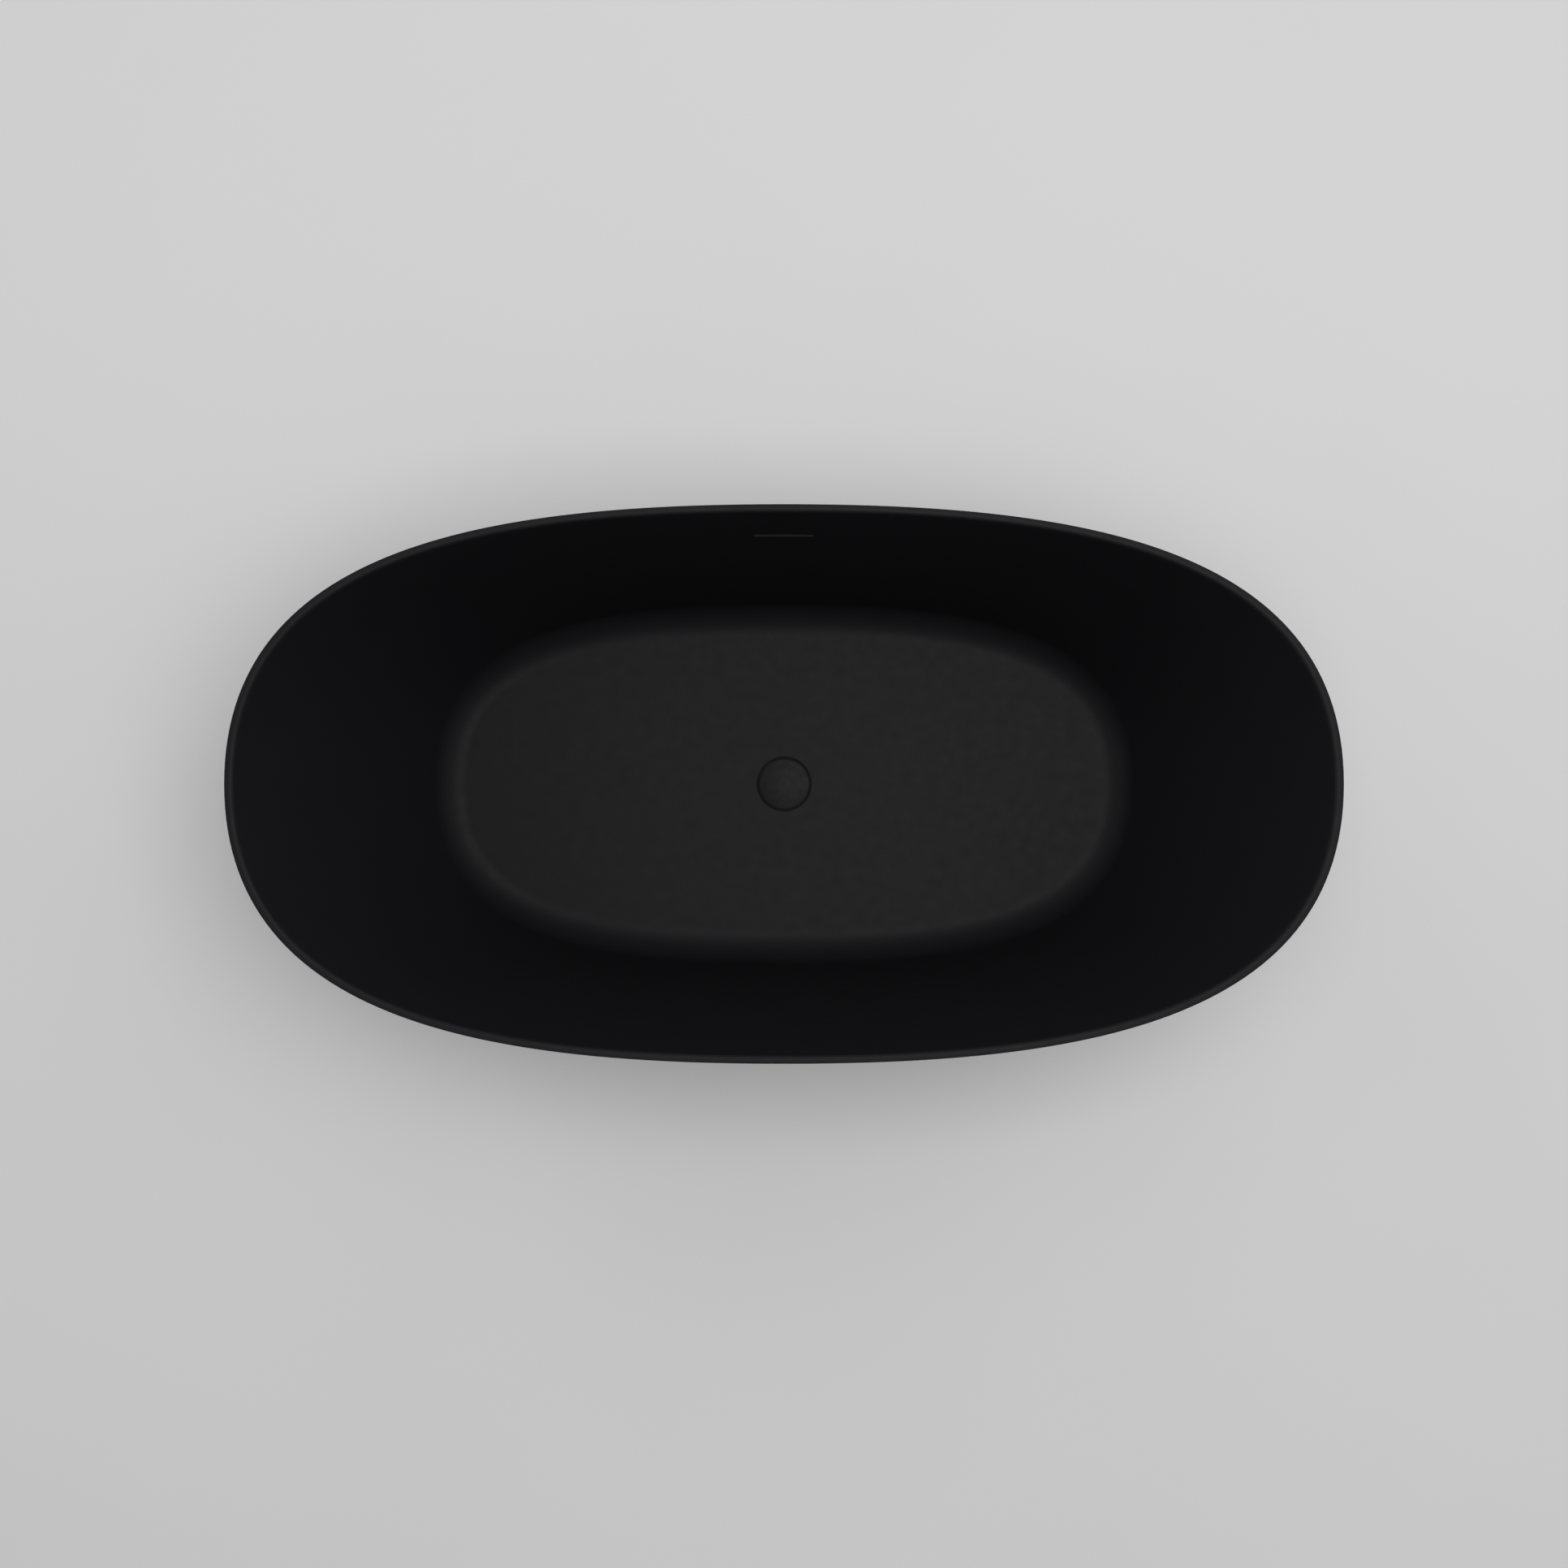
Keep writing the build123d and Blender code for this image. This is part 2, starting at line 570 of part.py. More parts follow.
# Domed plug with a boss for the stem
SEAL_THICKNESS = 2.2
PLUG_BOTTOM = FLANGE_TOP + 0.3 + SEAL_THICKNESS
PLUG_EDGE = BASIN_FLOOR - 0.4
STEM_RADIUS = 3
STEM_TOP = PLUG_BOTTOM + 2
with BuildPart() as plug_cap:
    with BuildSketch(Plane.XZ):
        with BuildLine():
            Line((0, PLUG_EDGE + PLUG_CROWN), (0, PLUG_BOTTOM))
            Line((0, PLUG_BOTTOM), (PLUG_RADIUS, PLUG_BOTTOM))
            Line((PLUG_RADIUS, PLUG_BOTTOM), (PLUG_RADIUS, PLUG_EDGE))
            ThreePointArc(
                (PLUG_RADIUS, PLUG_EDGE),
                (PLUG_RADIUS / 2, PLUG_EDGE + 0.75 * PLUG_CROWN),
                (0, PLUG_EDGE + PLUG_CROWN),
            )
        make_face()
    revolve(axis=Axis.Z)
    rim_circle = plug_cap.edges().filter_by(GeomType.CIRCLE).filter_by(
        lambda e: abs(e.radius - PLUG_RADIUS) < 0.01 and e.center().Z > PLUG_EDGE - 0.1
    )
    fillet(rim_circle, radius=0.8)
    with Locations((0, 0, PLUG_BOTTOM)):
        Cylinder(7, 5, align=HANG)
    with Locations((0, 0, STEM_TOP + 0.1)):
        Cylinder(STEM_RADIUS + 0.05, 10, align=HANG, mode=Mode.SUBTRACT)
plug_cap.part.label = "plug_cap"
export_step(plug_cap.part, "parts/plug_cap.step")

# Rubber ring under the plug
with BuildPart() as plug_seal:
    with BuildSketch(Plane.XY.offset(PLUG_BOTTOM)):
        Circle(35)
        Circle(27, mode=Mode.SUBTRACT)
    extrude(amount=-SEAL_THICKNESS)
    fillet(plug_seal.edges().group_by(Axis.Z)[0], radius=0.8)
plug_seal.part.label = "plug_seal"
export_step(plug_seal.part, "parts/plug_seal.step")

# Stem screwed into the plug, with the collar and pin that work in the barrel
BARREL_BORE = 4.6
BARREL_FLOOR = 103
COLLAR_BOTTOM = 116
PIN_BOTTOM = 108.5
with BuildPart() as plug_stem:
    with Locations((0, 0, COLLAR_BOTTOM)):
        Cylinder(BARREL_BORE - 0.1, 3, align=STAND)
        Cylinder(STEM_RADIUS, STEM_TOP - COLLAR_BOTTOM, align=STAND)
        Cylinder(2, COLLAR_BOTTOM - PIN_BOTTOM, align=HANG)
plug_stem.part.label = "plug_stem"
export_step(plug_stem.part, "parts/plug_stem.step")

# Barrel that screws into the spider and holds the click mechanism
with BuildPart() as click_barrel:
    with Locations((0, 0, BARREL_FLOOR - 2)):
        Cylinder(BARREL_RADIUS, SPIDER_TOP - BARREL_FLOOR + 2, align=STAND)
    with BuildSketch(Plane.XY.offset(SPIDER_TOP)):
        RegularPolygon(nut_radius * 17 / 19, 6)
    extrude(amount=4)
    with Locations((0, 0, BARREL_FLOOR)):
        Cylinder(BARREL_BORE, 40, align=STAND, mode=Mode.SUBTRACT)
        Cylinder(1.5, 10, mode=Mode.SUBTRACT)
click_barrel.part.label = "click_barrel"
export_step(click_barrel.part, "parts/click_barrel.step")

# Rotor with ratchet teeth that turns a step at each click
ROTOR_BOTTOM = 111.8
ROTOR_TOP = 115
with BuildPart() as click_rotor:
    with BuildSketch(Plane.XY.offset(ROTOR_BOTTOM)):
        Circle(BARREL_BORE - 0.15)
        Circle(2.15, mode=Mode.SUBTRACT)
    extrude(amount=ROTOR_TOP - ROTOR_BOTTOM)
    with BuildSketch(Plane.XY.offset(ROTOR_TOP)):
        with PolarLocations(3.2, 6):
            Rectangle(1.6, 1.2)
    extrude(amount=0.8)
click_rotor.part.label = "click_rotor"
export_step(click_rotor.part, "parts/click_rotor.step")

# Spring that lifts the plug when the rotor lets it go
SPRING_WIRE = 0.4
SPRING_RADIUS = 3.4
SPRING_BOTTOM = BARREL_FLOOR + SPRING_WIRE + 0.1
SPRING_LENGTH = ROTOR_BOTTOM - SPRING_BOTTOM - SPRING_WIRE - 0.1
with BuildPart() as click_spring:
    with BuildLine():
        coil = Helix(pitch=SPRING_LENGTH / 5, height=SPRING_LENGTH, radius=SPRING_RADIUS, center=(0, 0, SPRING_BOTTOM))
    with BuildSketch(Plane(coil @ 0, z_dir=coil % 0)):
        Circle(SPRING_WIRE)
    sweep(is_frenet=True)
click_spring.part.label = "click_spring"
export_step(click_spring.part, "parts/click_spring.step")

# ---------------------------------------------------------------- the overflow

# The box lies on the back of the basin's wall; its own axes run across, up the wall and away from the wall
wall_rise = at_height(BASIN_OVALS, SLOT_LEVEL + 1, 2) - at_height(BASIN_OVALS, SLOT_LEVEL - 1, 2)
wall_lean = math.atan2(wall_rise, 2)
wall_back = at_height(BASIN_OVALS, SLOT_LEVEL, 2) + BASIN_LEAN[1] * ACRYLIC
up_wall = Vector(0, math.sin(wall_lean), math.cos(wall_lean))
off_wall = Vector(0, math.cos(wall_lean), -math.sin(wall_lean))
slot_centre = Vector(0, wall_back, SLOT_LEVEL)


def on_wall(height_up, distance_off):
    """A plane parallel to the basin's wall, that far up from the slot and off the wall."""
    origin = slot_centre + up_wall * height_up + off_wall * distance_off
    return Plane(origin, x_dir=(-1, 0, 0), z_dir=off_wall)


MOUTH_HALF = 56
MOUTH_TOP = 14
MOUTH_BOTTOM = -22
GASKET_OFF = 0.4
GASKET = 1.1
with BuildPart() as overflow_gasket:
    with BuildSketch(on_wall(0, GASKET_OFF)):
        with Locations((0, (MOUTH_TOP + MOUTH_BOTTOM) / 2)):
            Rectangle(2 * MOUTH_HALF, MOUTH_TOP - MOUTH_BOTTOM)
        Rectangle(94, 18, mode=Mode.SUBTRACT)
    extrude(amount=GASKET)
overflow_gasket.part.label = "overflow_gasket"
export_step(overflow_gasket.part, "parts/overflow_gasket.step")

# Flat funnel from the slot down to a spigot for the hose
BOX_OFF = GASKET_OFF + GASKET
BOX_DEPTH = 8
BOX_WALL = 1.5
DUCT_HALF = 22
DUCT_BOTTOM = -160
SUMP_TOP = -136
SUMP_DEPTH = 28
SPIGOT_OFF = 18
SPIGOT_LENGTH = 30
FUNNEL = [
    (-MOUTH_HALF, MOUTH_TOP),
    (-MOUTH_HALF, MOUTH_BOTTOM),
    (-DUCT_HALF, -80),
    (-DUCT_HALF, DUCT_BOTTOM),
    (DUCT_HALF, DUCT_BOTTOM),
    (DUCT_HALF, -80),
    (MOUTH_HALF, MOUTH_BOTTOM),
    (MOUTH_HALF, MOUTH_TOP),
]
with BuildPart() as overflow_box:
    with BuildSketch(on_wall(0, BOX_OFF)) as funnel:
        with BuildLine():
            Polyline(*FUNNEL, close=True)
        make_face()
        fillet(funnel.vertices(), radius=6)
    extrude(amount=BOX_DEPTH)
    with BuildSketch(on_wall(0, BOX_OFF)):
        with Locations((0, (SUMP_TOP + DUCT_BOTTOM) / 2)):
            RectangleRounded(2 * DUCT_HALF, SUMP_TOP - DUCT_BOTTOM, 6)
    extrude(amount=SUMP_DEPTH)
    with BuildSketch(on_wall(0, BOX_OFF + BOX_WALL)) as hollow:
        with BuildLine():
            Polyline(*FUNNEL, close=True)
        make_face()
        fillet(hollow.vertices(), radius=6)
        offset(amount=-BOX_WALL)
    extrude(amount=BOX_DEPTH - 2 * BOX_WALL, mode=Mode.SUBTRACT)
    with BuildSketch(on_wall(0, BOX_OFF + BOX_WALL)):
        with Locations((0, (SUMP_TOP + DUCT_BOTTOM) / 2)):
            RectangleRounded(2 * DUCT_HALF - 3, SUMP_TOP - DUCT_BOTTOM - 3, 4.5)
    extrude(amount=SUMP_DEPTH - 2 * BOX_WALL, mode=Mode.SUBTRACT)
    spigot = Plane(on_wall(DUCT_BOTTOM, SPIGOT_OFF).origin, x_dir=(1, 0, 0), z_dir=-up_wall)
    with BuildSketch(spigot):
        Circle(SPIGOT_RADIUS)
    extrude(amount=SPIGOT_LENGTH)
    with BuildSketch(spigot):
        Circle(SPIGOT_RADIUS - 2)
    extrude(amount=SPIGOT_LENGTH, both=True, mode=Mode.SUBTRACT)
    with BuildSketch(on_wall(0, 0)):
        Rectangle(92, 13)
    extrude(amount=BOX_OFF + BOX_WALL + 0.5, mode=Mode.SUBTRACT)
overflow_box.part.label = "overflow_box"
export_step(overflow_box.part, "parts/overflow_box.step")

# Hose from the spigot down between the shells and in under the board to the waste body
hose_start = on_wall(DUCT_BOTTOM - 3, SPIGOT_OFF).origin
hose_second = on_wall(DUCT_BOTTOM - 46, SPIGOT_OFF).origin
HOSE_END = 40
HOSE_LEVEL = INLET_LEVEL
HOSE_ROUTE = [
    (hose_start.Y, hose_start.Z),
    (hose_second.Y, hose_second.Z),
    (304, 150),
    (262, HOSE_LEVEL),
    (HOSE_END, HOSE_LEVEL),
]
with BuildPart() as overflow_hose:
    with BuildLine(Plane.YZ) as route:
        FilletPolyline(*HOSE_ROUTE, radius=[90, 70, 70])
    with BuildSketch(Plane(route.line @ 0, z_dir=route.line % 0)):
        Circle(HOSE_RADIUS)
        Circle(HOSE_BORE, mode=Mode.SUBTRACT)
    sweep()
overflow_hose.part.label = "overflow_hose"
export_step(overflow_hose.part, "parts/overflow_hose.step")

# Worm-drive clips on both ends of the hose
CLIP_WIDTH = 9
CLIP_BAND = 0.8
CLIP_SCREW = (4, 16)
upper_clip = Plane(on_wall(DUCT_BOTTOM - 10, SPIGOT_OFF).origin, x_dir=(1, 0, 0), z_dir=-up_wall)
lower_clip = Plane((0, 46, HOSE_LEVEL), x_dir=(1, 0, 0), z_dir=(0, 1, 0))
for name, place in (("hose_clip_upper", upper_clip), ("hose_clip_lower", lower_clip)):
    with BuildPart() as hose_clip:
        with BuildSketch(place):
            Circle(HOSE_RADIUS + 0.1 + CLIP_BAND)
            Circle(HOSE_RADIUS + 0.1, mode=Mode.SUBTRACT)
        extrude(amount=CLIP_WIDTH)
        with BuildSketch(place):
            with Locations((HOSE_RADIUS + 4.5, 0)):
                RectangleRounded(8.4, 11, 1)
        extrude(amount=CLIP_WIDTH)
        across = Plane(place.from_local_coords((HOSE_RADIUS + 5.2, 0, CLIP_WIDTH / 2)), z_dir=place.y_dir)
        with BuildSketch(across):
            Circle(CLIP_SCREW[0] - 0.6)
        extrude(amount=CLIP_SCREW[1] / 2, both=True)
        with BuildSketch(place):
            Circle(HOSE_RADIUS + 0.1)
        extrude(amount=CLIP_WIDTH, mode=Mode.SUBTRACT)
    hose_clip.part.label = name
    export_step(hose_clip.part, f"parts/{name}.step")
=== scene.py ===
"""A matt black freestanding bathtub, with its underframe, its waste and its overflow."""
import math

import bmesh
import bpy
from mathutils import Matrix, Vector


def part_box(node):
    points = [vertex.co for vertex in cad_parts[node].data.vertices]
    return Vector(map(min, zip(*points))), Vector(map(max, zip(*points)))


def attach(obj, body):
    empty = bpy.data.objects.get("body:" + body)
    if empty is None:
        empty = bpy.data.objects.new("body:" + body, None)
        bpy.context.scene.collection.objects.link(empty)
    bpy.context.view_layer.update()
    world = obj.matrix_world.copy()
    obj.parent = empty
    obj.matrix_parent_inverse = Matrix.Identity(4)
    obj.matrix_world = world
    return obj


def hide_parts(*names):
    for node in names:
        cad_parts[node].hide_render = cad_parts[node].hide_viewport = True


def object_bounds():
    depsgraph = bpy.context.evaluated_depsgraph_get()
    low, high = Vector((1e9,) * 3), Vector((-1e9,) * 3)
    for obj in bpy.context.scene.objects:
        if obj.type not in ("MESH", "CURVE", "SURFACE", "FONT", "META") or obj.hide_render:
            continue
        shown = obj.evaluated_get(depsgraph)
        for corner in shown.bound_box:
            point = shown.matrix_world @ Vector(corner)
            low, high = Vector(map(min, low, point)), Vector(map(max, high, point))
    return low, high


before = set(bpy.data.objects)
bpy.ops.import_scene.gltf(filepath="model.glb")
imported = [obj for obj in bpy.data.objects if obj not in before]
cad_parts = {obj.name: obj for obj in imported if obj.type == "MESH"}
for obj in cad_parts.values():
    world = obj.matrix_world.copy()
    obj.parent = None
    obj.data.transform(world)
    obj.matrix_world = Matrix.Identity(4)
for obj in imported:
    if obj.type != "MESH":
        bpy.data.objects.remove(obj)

cad_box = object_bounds()
scene = bpy.context.scene

# ---------------------------------------------------------------- the studio
# The camera hangs over the middle of the tub and looks straight down, with the overflow's side away from
# it. Large soft lights hang over the tub and round its far side.

CAMERA_OVER_RIM = 2.917
SKY_STRENGTH = 0.27
AIM = Vector((0, 0, 0.2))

lens = bpy.data.cameras.new("camera")
lens.lens = 50
lens.sensor_width = 36
camera = bpy.data.objects.new("camera", lens)
camera.location = (0, 0, cad_box[1].z + CAMERA_OVER_RIM)
scene.collection.objects.link(camera)
scene.camera = camera
scene.view_settings.view_transform = "Standard"

world = bpy.data.worlds.new("studio")
scene.world = world
world.use_nodes = True
world.node_tree.nodes["Background"].inputs["Color"].default_value = (1, 1, 1, 1)
world.node_tree.nodes["Background"].inputs["Strength"].default_value = SKY_STRENGTH


def soft_light(name, place, size, power):
    """A large square lamp that faces the middle of the tub."""
    lamp = bpy.data.lights.new(name, "AREA")
    lamp.shape = "SQUARE"
    lamp.size = size
    lamp.energy = power
    lit = bpy.data.objects.new(name, lamp)
    lit.location = place
    lit.rotation_mode = "QUATERNION"
    lit.rotation_quaternion = (AIM - Vector(place)).to_track_quat("-Z", "Y")
    scene.collection.objects.link(lit)


soft_light("top", (0.5, 0.1, 5), 2.6, 127)
soft_light("key", (1.2, 1.5, 6), 4.0, 37)
soft_light("right", (4.5, 0, 3), 3.0, 34)
soft_light("left", (-4.5, 0, 3), 3.0, 33)
soft_light("far_right", (3.4, 3.4, 3), 3.0, 29)
soft_light("far_left", (-3.4, 3.4, 3), 3.0, 36)
soft_light("far", (0, 5.5, 1.6), 2.6, 27)


# ---------------------------------------------------------------- finishes
# Every material is made of the same few parts: a number that can be used in sums, and a finish that
# makes nodes, joins them up and feeds the shader.


class Value:
    """A node's output that can be used in sums."""

    def __init__(self, finish, socket):
        self.finish = finish
        self.socket = socket

    def maths(self, operation, first, second):
        return self.finish.node("ShaderNodeMath", {"operation": operation}, {0: first, 1: second})

    def __add__(self, other):
        return self.maths("ADD", self, other)

    def __radd__(self, other):
        return self.maths("ADD", other, self)

    def __mul__(self, other):
        return self.maths("MULTIPLY", self, other)

    def __rmul__(self, other):
        return self.maths("MULTIPLY", other, self)


class Finish:
    """A material in the making, with its shader and the place of each point on the object."""

    def __init__(self, name, metallic=0.0):
        self.material = bpy.data.materials.new(name)
        self.material.use_nodes = True
        self.tree = self.material.node_tree
        self.shader = self.tree.nodes["Principled BSDF"]
        self.shader.inputs["Metallic"].default_value = metallic
        self.place = self.node("ShaderNodeTexCoord", {}, {}, "Object")

    def feed(self, socket, value):
        """Links a value to a socket, or sets the socket to a plain number or colour."""
        if isinstance(value, Value):
            self.tree.links.new(value.socket, socket)
        else:
            socket.default_value = value

    def node(self, kind, settings, sockets, output=0):
        """A node of a kind, with its settings, then the values or links of its sockets."""
        made = self.tree.nodes.new(kind)
        for key, value in settings.items():
            if key == "stops":
                ramp = made.color_ramp.elements
                ramp[0].position, ramp[0].color = value[0]
                ramp[-1].position, ramp[-1].color = value[-1]
                for position, colour in value[1:-1]:
                    ramp.new(position).color = colour
            else:
                setattr(made, key, value)
        for key, value in sockets.items():
            self.feed(made.inputs[key], value)
        return Value(self, made.outputs[output])

    def set(self, **sockets):
        """Feeds the shader: base_color=..., roughness=... and so on."""
        for key, value in sockets.items():
            socket = key.replace("_", " ").title().replace("Ior", "IOR")
            self.feed(self.shader.inputs[socket], value)

    def stretched(self, x, y, z):
        """The place with its axes scaled, for a pattern that runs along the piece."""
        return self.node("ShaderNodeMapping", {}, {"Vector": self.place, "Scale": (x, y, z)})

    def noise(self, scale, detail=2.0, place=None, distortion=0.0, rough=0.5):
        """Soft noise about 0.5, with that many waves to the metre."""
        sockets = {"Vector": place or self.place, "Scale": scale, "Detail": detail}
        sockets |= {"Distortion": distortion, "Roughness": rough}
        return self.node("ShaderNodeTexNoise", {}, sockets, "Fac")

    def flakes(self, scale, place=None):
        """A number of its own for each small cell, with that many cells to the metre."""
        sockets = {"Vector": place or self.place, "Scale": scale}
        cells = self.node("ShaderNodeTexVoronoi", {}, sockets, "Color")
        return self.node("ShaderNodeRGBToBW", {}, {"Color": cells})

    def ramp(self, value, *stops):
        """A value made into a colour by stops of position and colour."""
        return self.node("ShaderNodeValToRGB", {"stops": stops}, {"Fac": value}, "Color")

    def mixed(self, factor, first, second):
        """Two colours mixed by a factor."""
        return self.node("ShaderNodeMix", {"data_type": "RGBA"}, {0: factor, 6: first, 7: second}, 2)

    def limited(self, value, low, high, to_low, to_high):
        """A value taken from one range to another and held inside it."""
        sockets = {"Value": value, "From Min": low, "From Max": high, "To Min": to_low, "To Max": to_high}
        return self.node("ShaderNodeMapRange", {}, sockets, "Result")

    def bump(self, height, distance, strength=1.0):
        """Bumps as high as distance, in metres."""
        sockets = {"Height": height, "Distance": distance, "Strength": strength}
        return self.node("ShaderNodeBump", {}, sockets, "Normal")


def shade(level, tint=(1, 1, 1)):
    """A grey of that level, with a tint, as a node takes it."""
    return (level * tint[0], level * tint[1], level * tint[2], 1)


# ---------------------------------------------------------------- the two ovals
# Both shells are lofts through three ovals: height, half length, half width, and the fullness of the ends
# and of the sides. An oval is four cubic curves, and its fullness pulls each curve towards its corner.

HALF_LENGTH = cad_box[1].x
HALF_WIDTH = cad_box[1].y
RIM_TOP = cad_box[1].z
RIM_WIDTH = 0.0103
FLOOR = 0.145
SKIRT_FOOT, SKIRT_TOP = (corner.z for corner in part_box("skirt_shell"))
BASIN_OVALS = (
    (FLOOR, 0.521, 0.266, 0.895, 0.511),
    ((FLOOR + RIM_TOP) / 2, 0.627, 0.314, 0.885, 0.507),
    (RIM_TOP, HALF_LENGTH - RIM_WIDTH, HALF_WIDTH - RIM_WIDTH, 0.875, 0.502),
)
SKIRT_OVALS = (
    (SKIRT_FOOT, 0.570, 0.315, 0.880, 0.505),
    (0.290, 0.652, 0.3475, 0.878, 0.504),
    (RIM_TOP, HALF_LENGTH + 0.00065, HALF_WIDTH + 0.00013, 0.875, 0.502),
)
BASIN_LEAN = (1.16, 1.035)
SKIRT_LEAN = (1.08, 1.01)
ACRYLIC = 0.0045
FLOOR_ROUND = 0.050
STEPS_ROUND = 240
POLE = 0.00005
NUDGE = 1e-9


def corners_at(ovals, lean, height, growth):
    """The four control points of the oval's quarter at a height, grown outwards."""
    levels = [oval[0] for oval in ovals]
    corners = [Vector((0, 0)) for _ in range(4)]
    for own, (level, a, b, end, side) in zip(levels, ovals):
        others = [z for z in levels if z != own]
        weight = math.prod((height - z) / (own - z) for z in others)
        a += lean[0] * growth
        b += lean[1] * growth
        for corner, point in zip(corners, ((a, 0), (a, end * b), (side * a, b), (0, b))):
            corner += weight * Vector(point)
    return corners


def round_oval(corners, turn):
    """The point and the outward direction of an oval, where turn goes from 0 to 1 once round it."""
    quarter, t = divmod(turn * 4, 1)
    if quarter % 2:
        t = 1 - t
    p0, p1, p2, p3 = corners
    s = 1 - t
    point = s ** 3 * p0 + 3 * s * s * t * p1 + 3 * s * t * t * p2 + t ** 3 * p3
    along = s * s * (p1 - p0) + 2 * s * t * (p2 - p1) + t * t * (p3 - p2)
    out = Vector((along.y, -along.x)).normalized()
    flip = Vector(((1, 1), (-1, 1), (-1, -1), (1, -1))[int(quarter) % 4])
    return point * flip, out * flip


def wall(ovals, lean, height, growth=0.0):
    """A ring on a shell's wall."""
    corners = corners_at(ovals, lean, height, growth)

    def ring(turn):
        point, _ = round_oval(corners, turn)
        return Vector((*point, height))

    return ring


def floor_round(share, growth=0.0, inset=0.0):
    """A ring on the round between floor and wall: share 0 lies on the floor and share 1 on the wall."""
    rise = 0.01
    height = FLOOR - growth
    radius = FLOOR_ROUND + growth
    lowered = ((height, *BASIN_OVALS[0][1:]), *BASIN_OVALS[1:])
    at_floor = corners_at(lowered, BASIN_LEAN, height, growth)
    above = corners_at(lowered, BASIN_LEAN, height + rise, growth)

    def ring(turn):
        point, out = round_oval(at_floor, turn)
        higher, _ = round_oval(above, turn)
        steepness = math.pi / 2 - math.atan2((higher - point).dot(out), rise)
        angle = steepness * share
        reach = radius * (math.sin(angle) - math.tan(steepness / 2)) - inset
        return Vector((*(point + out * reach), height + radius * (1 - math.cos(angle))))

    return ring


def circle(radius, height):
    """A round ring."""

    def ring(turn):
        angle = turn * 2 * math.pi
        return Vector((radius * math.cos(angle), radius * math.sin(angle), height))

    return ring


def facing_out(form):
    """Turns the faces of a closed skin outwards."""
    bmesh.ops.recalc_face_normals(form, faces=form.faces)
    if form.calc_volume(signed=True) < 0:
        bmesh.ops.reverse_faces(form, faces=form.faces)


def ring_form(rings, closed=True, steps=STEPS_ROUND):
    """A skin spun through the rings in order, with the number of its ring on every point.

    A closed one comes back to its first ring, and the others end in a pole at each end.
    """
    form = bmesh.new()
    profile = [form.verts.new((number + 1, 0, 0)) for number in range(len(rings))]
    following = profile[1:] + profile[:1] if closed else profile[1:]
    edges = [form.edges.new(pair) for pair in zip(profile, following)]
    turn_round = {"axis": (0, 0, 1), "cent": (0, 0, 0), "angle": 2 * math.pi, "steps": steps}
    bmesh.ops.spin(form, geom=profile + edges, use_merge=True, **turn_round)
    number_of = form.verts.layers.int.new("ring")
    for vert in form.verts:
        vert[number_of] = round(vert.co.xy.length) - 1
        turn = math.atan2(vert.co.y, vert.co.x) / (2 * math.pi)
        vert.co = rings[vert[number_of]]((turn + NUDGE) % 1)
    if not closed:
        bmesh.ops.holes_fill(form, edges=[edge for edge in form.edges if edge.is_boundary], sides=0)
    facing_out(form)
    return form


def ease_rings(form, numbers, size, segments):
    """Rounds the edges that run along some of the rings."""
    number_of = form.verts.layers.int["ring"]
    edges = []
    for edge in form.edges:
        first, second = (vert[number_of] for vert in edge.verts)
        if first == second and first in numbers:
            edges.append(edge)
    rounding = {"affect": "EDGES", "profile": 0.5, "material": -1}
    bmesh.ops.bevel(form, geom=edges, offset=size, segments=segments, **rounding)


SHARP = 35


def finished(name, form, finish, sharp=SHARP):
    """The mesh as an object, smooth but for its sharp edges."""
    mesh = bpy.data.meshes.new(name)
    form.to_mesh(mesh)
    form.free()
    mesh.shade_smooth()
    mesh.set_sharp_from_angle(angle=math.radians(sharp))
    mesh.materials.append(finish.material)
    piece = bpy.data.objects.new(name, mesh)
    scene.collection.objects.link(piece)
    return piece


# ---------------------------------------------------------------- basin
# The bathing shell is one sheet of acrylic drawn into a mould, with a solid rim at its edge. It is bonded
# to the skirt just under the rim, and its floor has a round recess for the plug.

COOL_BLACK = (1, 1, 1.14)
matt_acrylic = Finish("matt_black_acrylic")
grain = matt_acrylic.noise(2600, 3, rough=0.6)
drawn = matt_acrylic.noise(9, 2)
matt_acrylic.set(
    base_color=matt_acrylic.mixed(drawn, shade(0.0074, COOL_BLACK), shade(0.0086, COOL_BLACK)),
    roughness=matt_acrylic.limited(matt_acrylic.noise(55, 4), 0.3, 0.7, 0.47, 0.52),
    specular_ior_level=0.075,
    normal=matt_acrylic.bump(grain, 0.00004, 0.6),
)

WELL_RADIUS = 0.0413
WELL_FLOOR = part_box("flange_seal")[0].z
WELL_EDGE_ROUND = 0.0014
HOLE_RADIUS = 0.025
LIP_BOTTOM = SKIRT_TOP + 0.0003
RIM_INNER_ROUND = 0.0037
RIM_OUTER_ROUND = 0.0014
ROUND_STEPS = 16
BACK_STEPS = 8

wall_rows = [0.19, 0.21, 0.25, 0.29, 0.33, 0.37, 0.41, 0.45, 0.475, 0.485, 0.495, 0.505, 0.53, 0.555, 0.57]
rings = [circle(HOLE_RADIUS, WELL_FLOOR), circle(WELL_RADIUS, WELL_FLOOR)]
well_edge = len(rings)
rings += [circle(WELL_RADIUS + out, FLOOR) for out in (0, 0.004, 0.03)]
rings += [floor_round(0, inset=inset) for inset in (0.02, 0.003)]
rings += [floor_round(step / ROUND_STEPS) for step in range(ROUND_STEPS + 1)]
rings += [wall(BASIN_OVALS, BASIN_LEAN, row) for row in wall_rows]
inner_edge = len(rings)
rings += [wall(BASIN_OVALS, BASIN_LEAN, RIM_TOP), wall(SKIRT_OVALS, SKIRT_LEAN, RIM_TOP)]
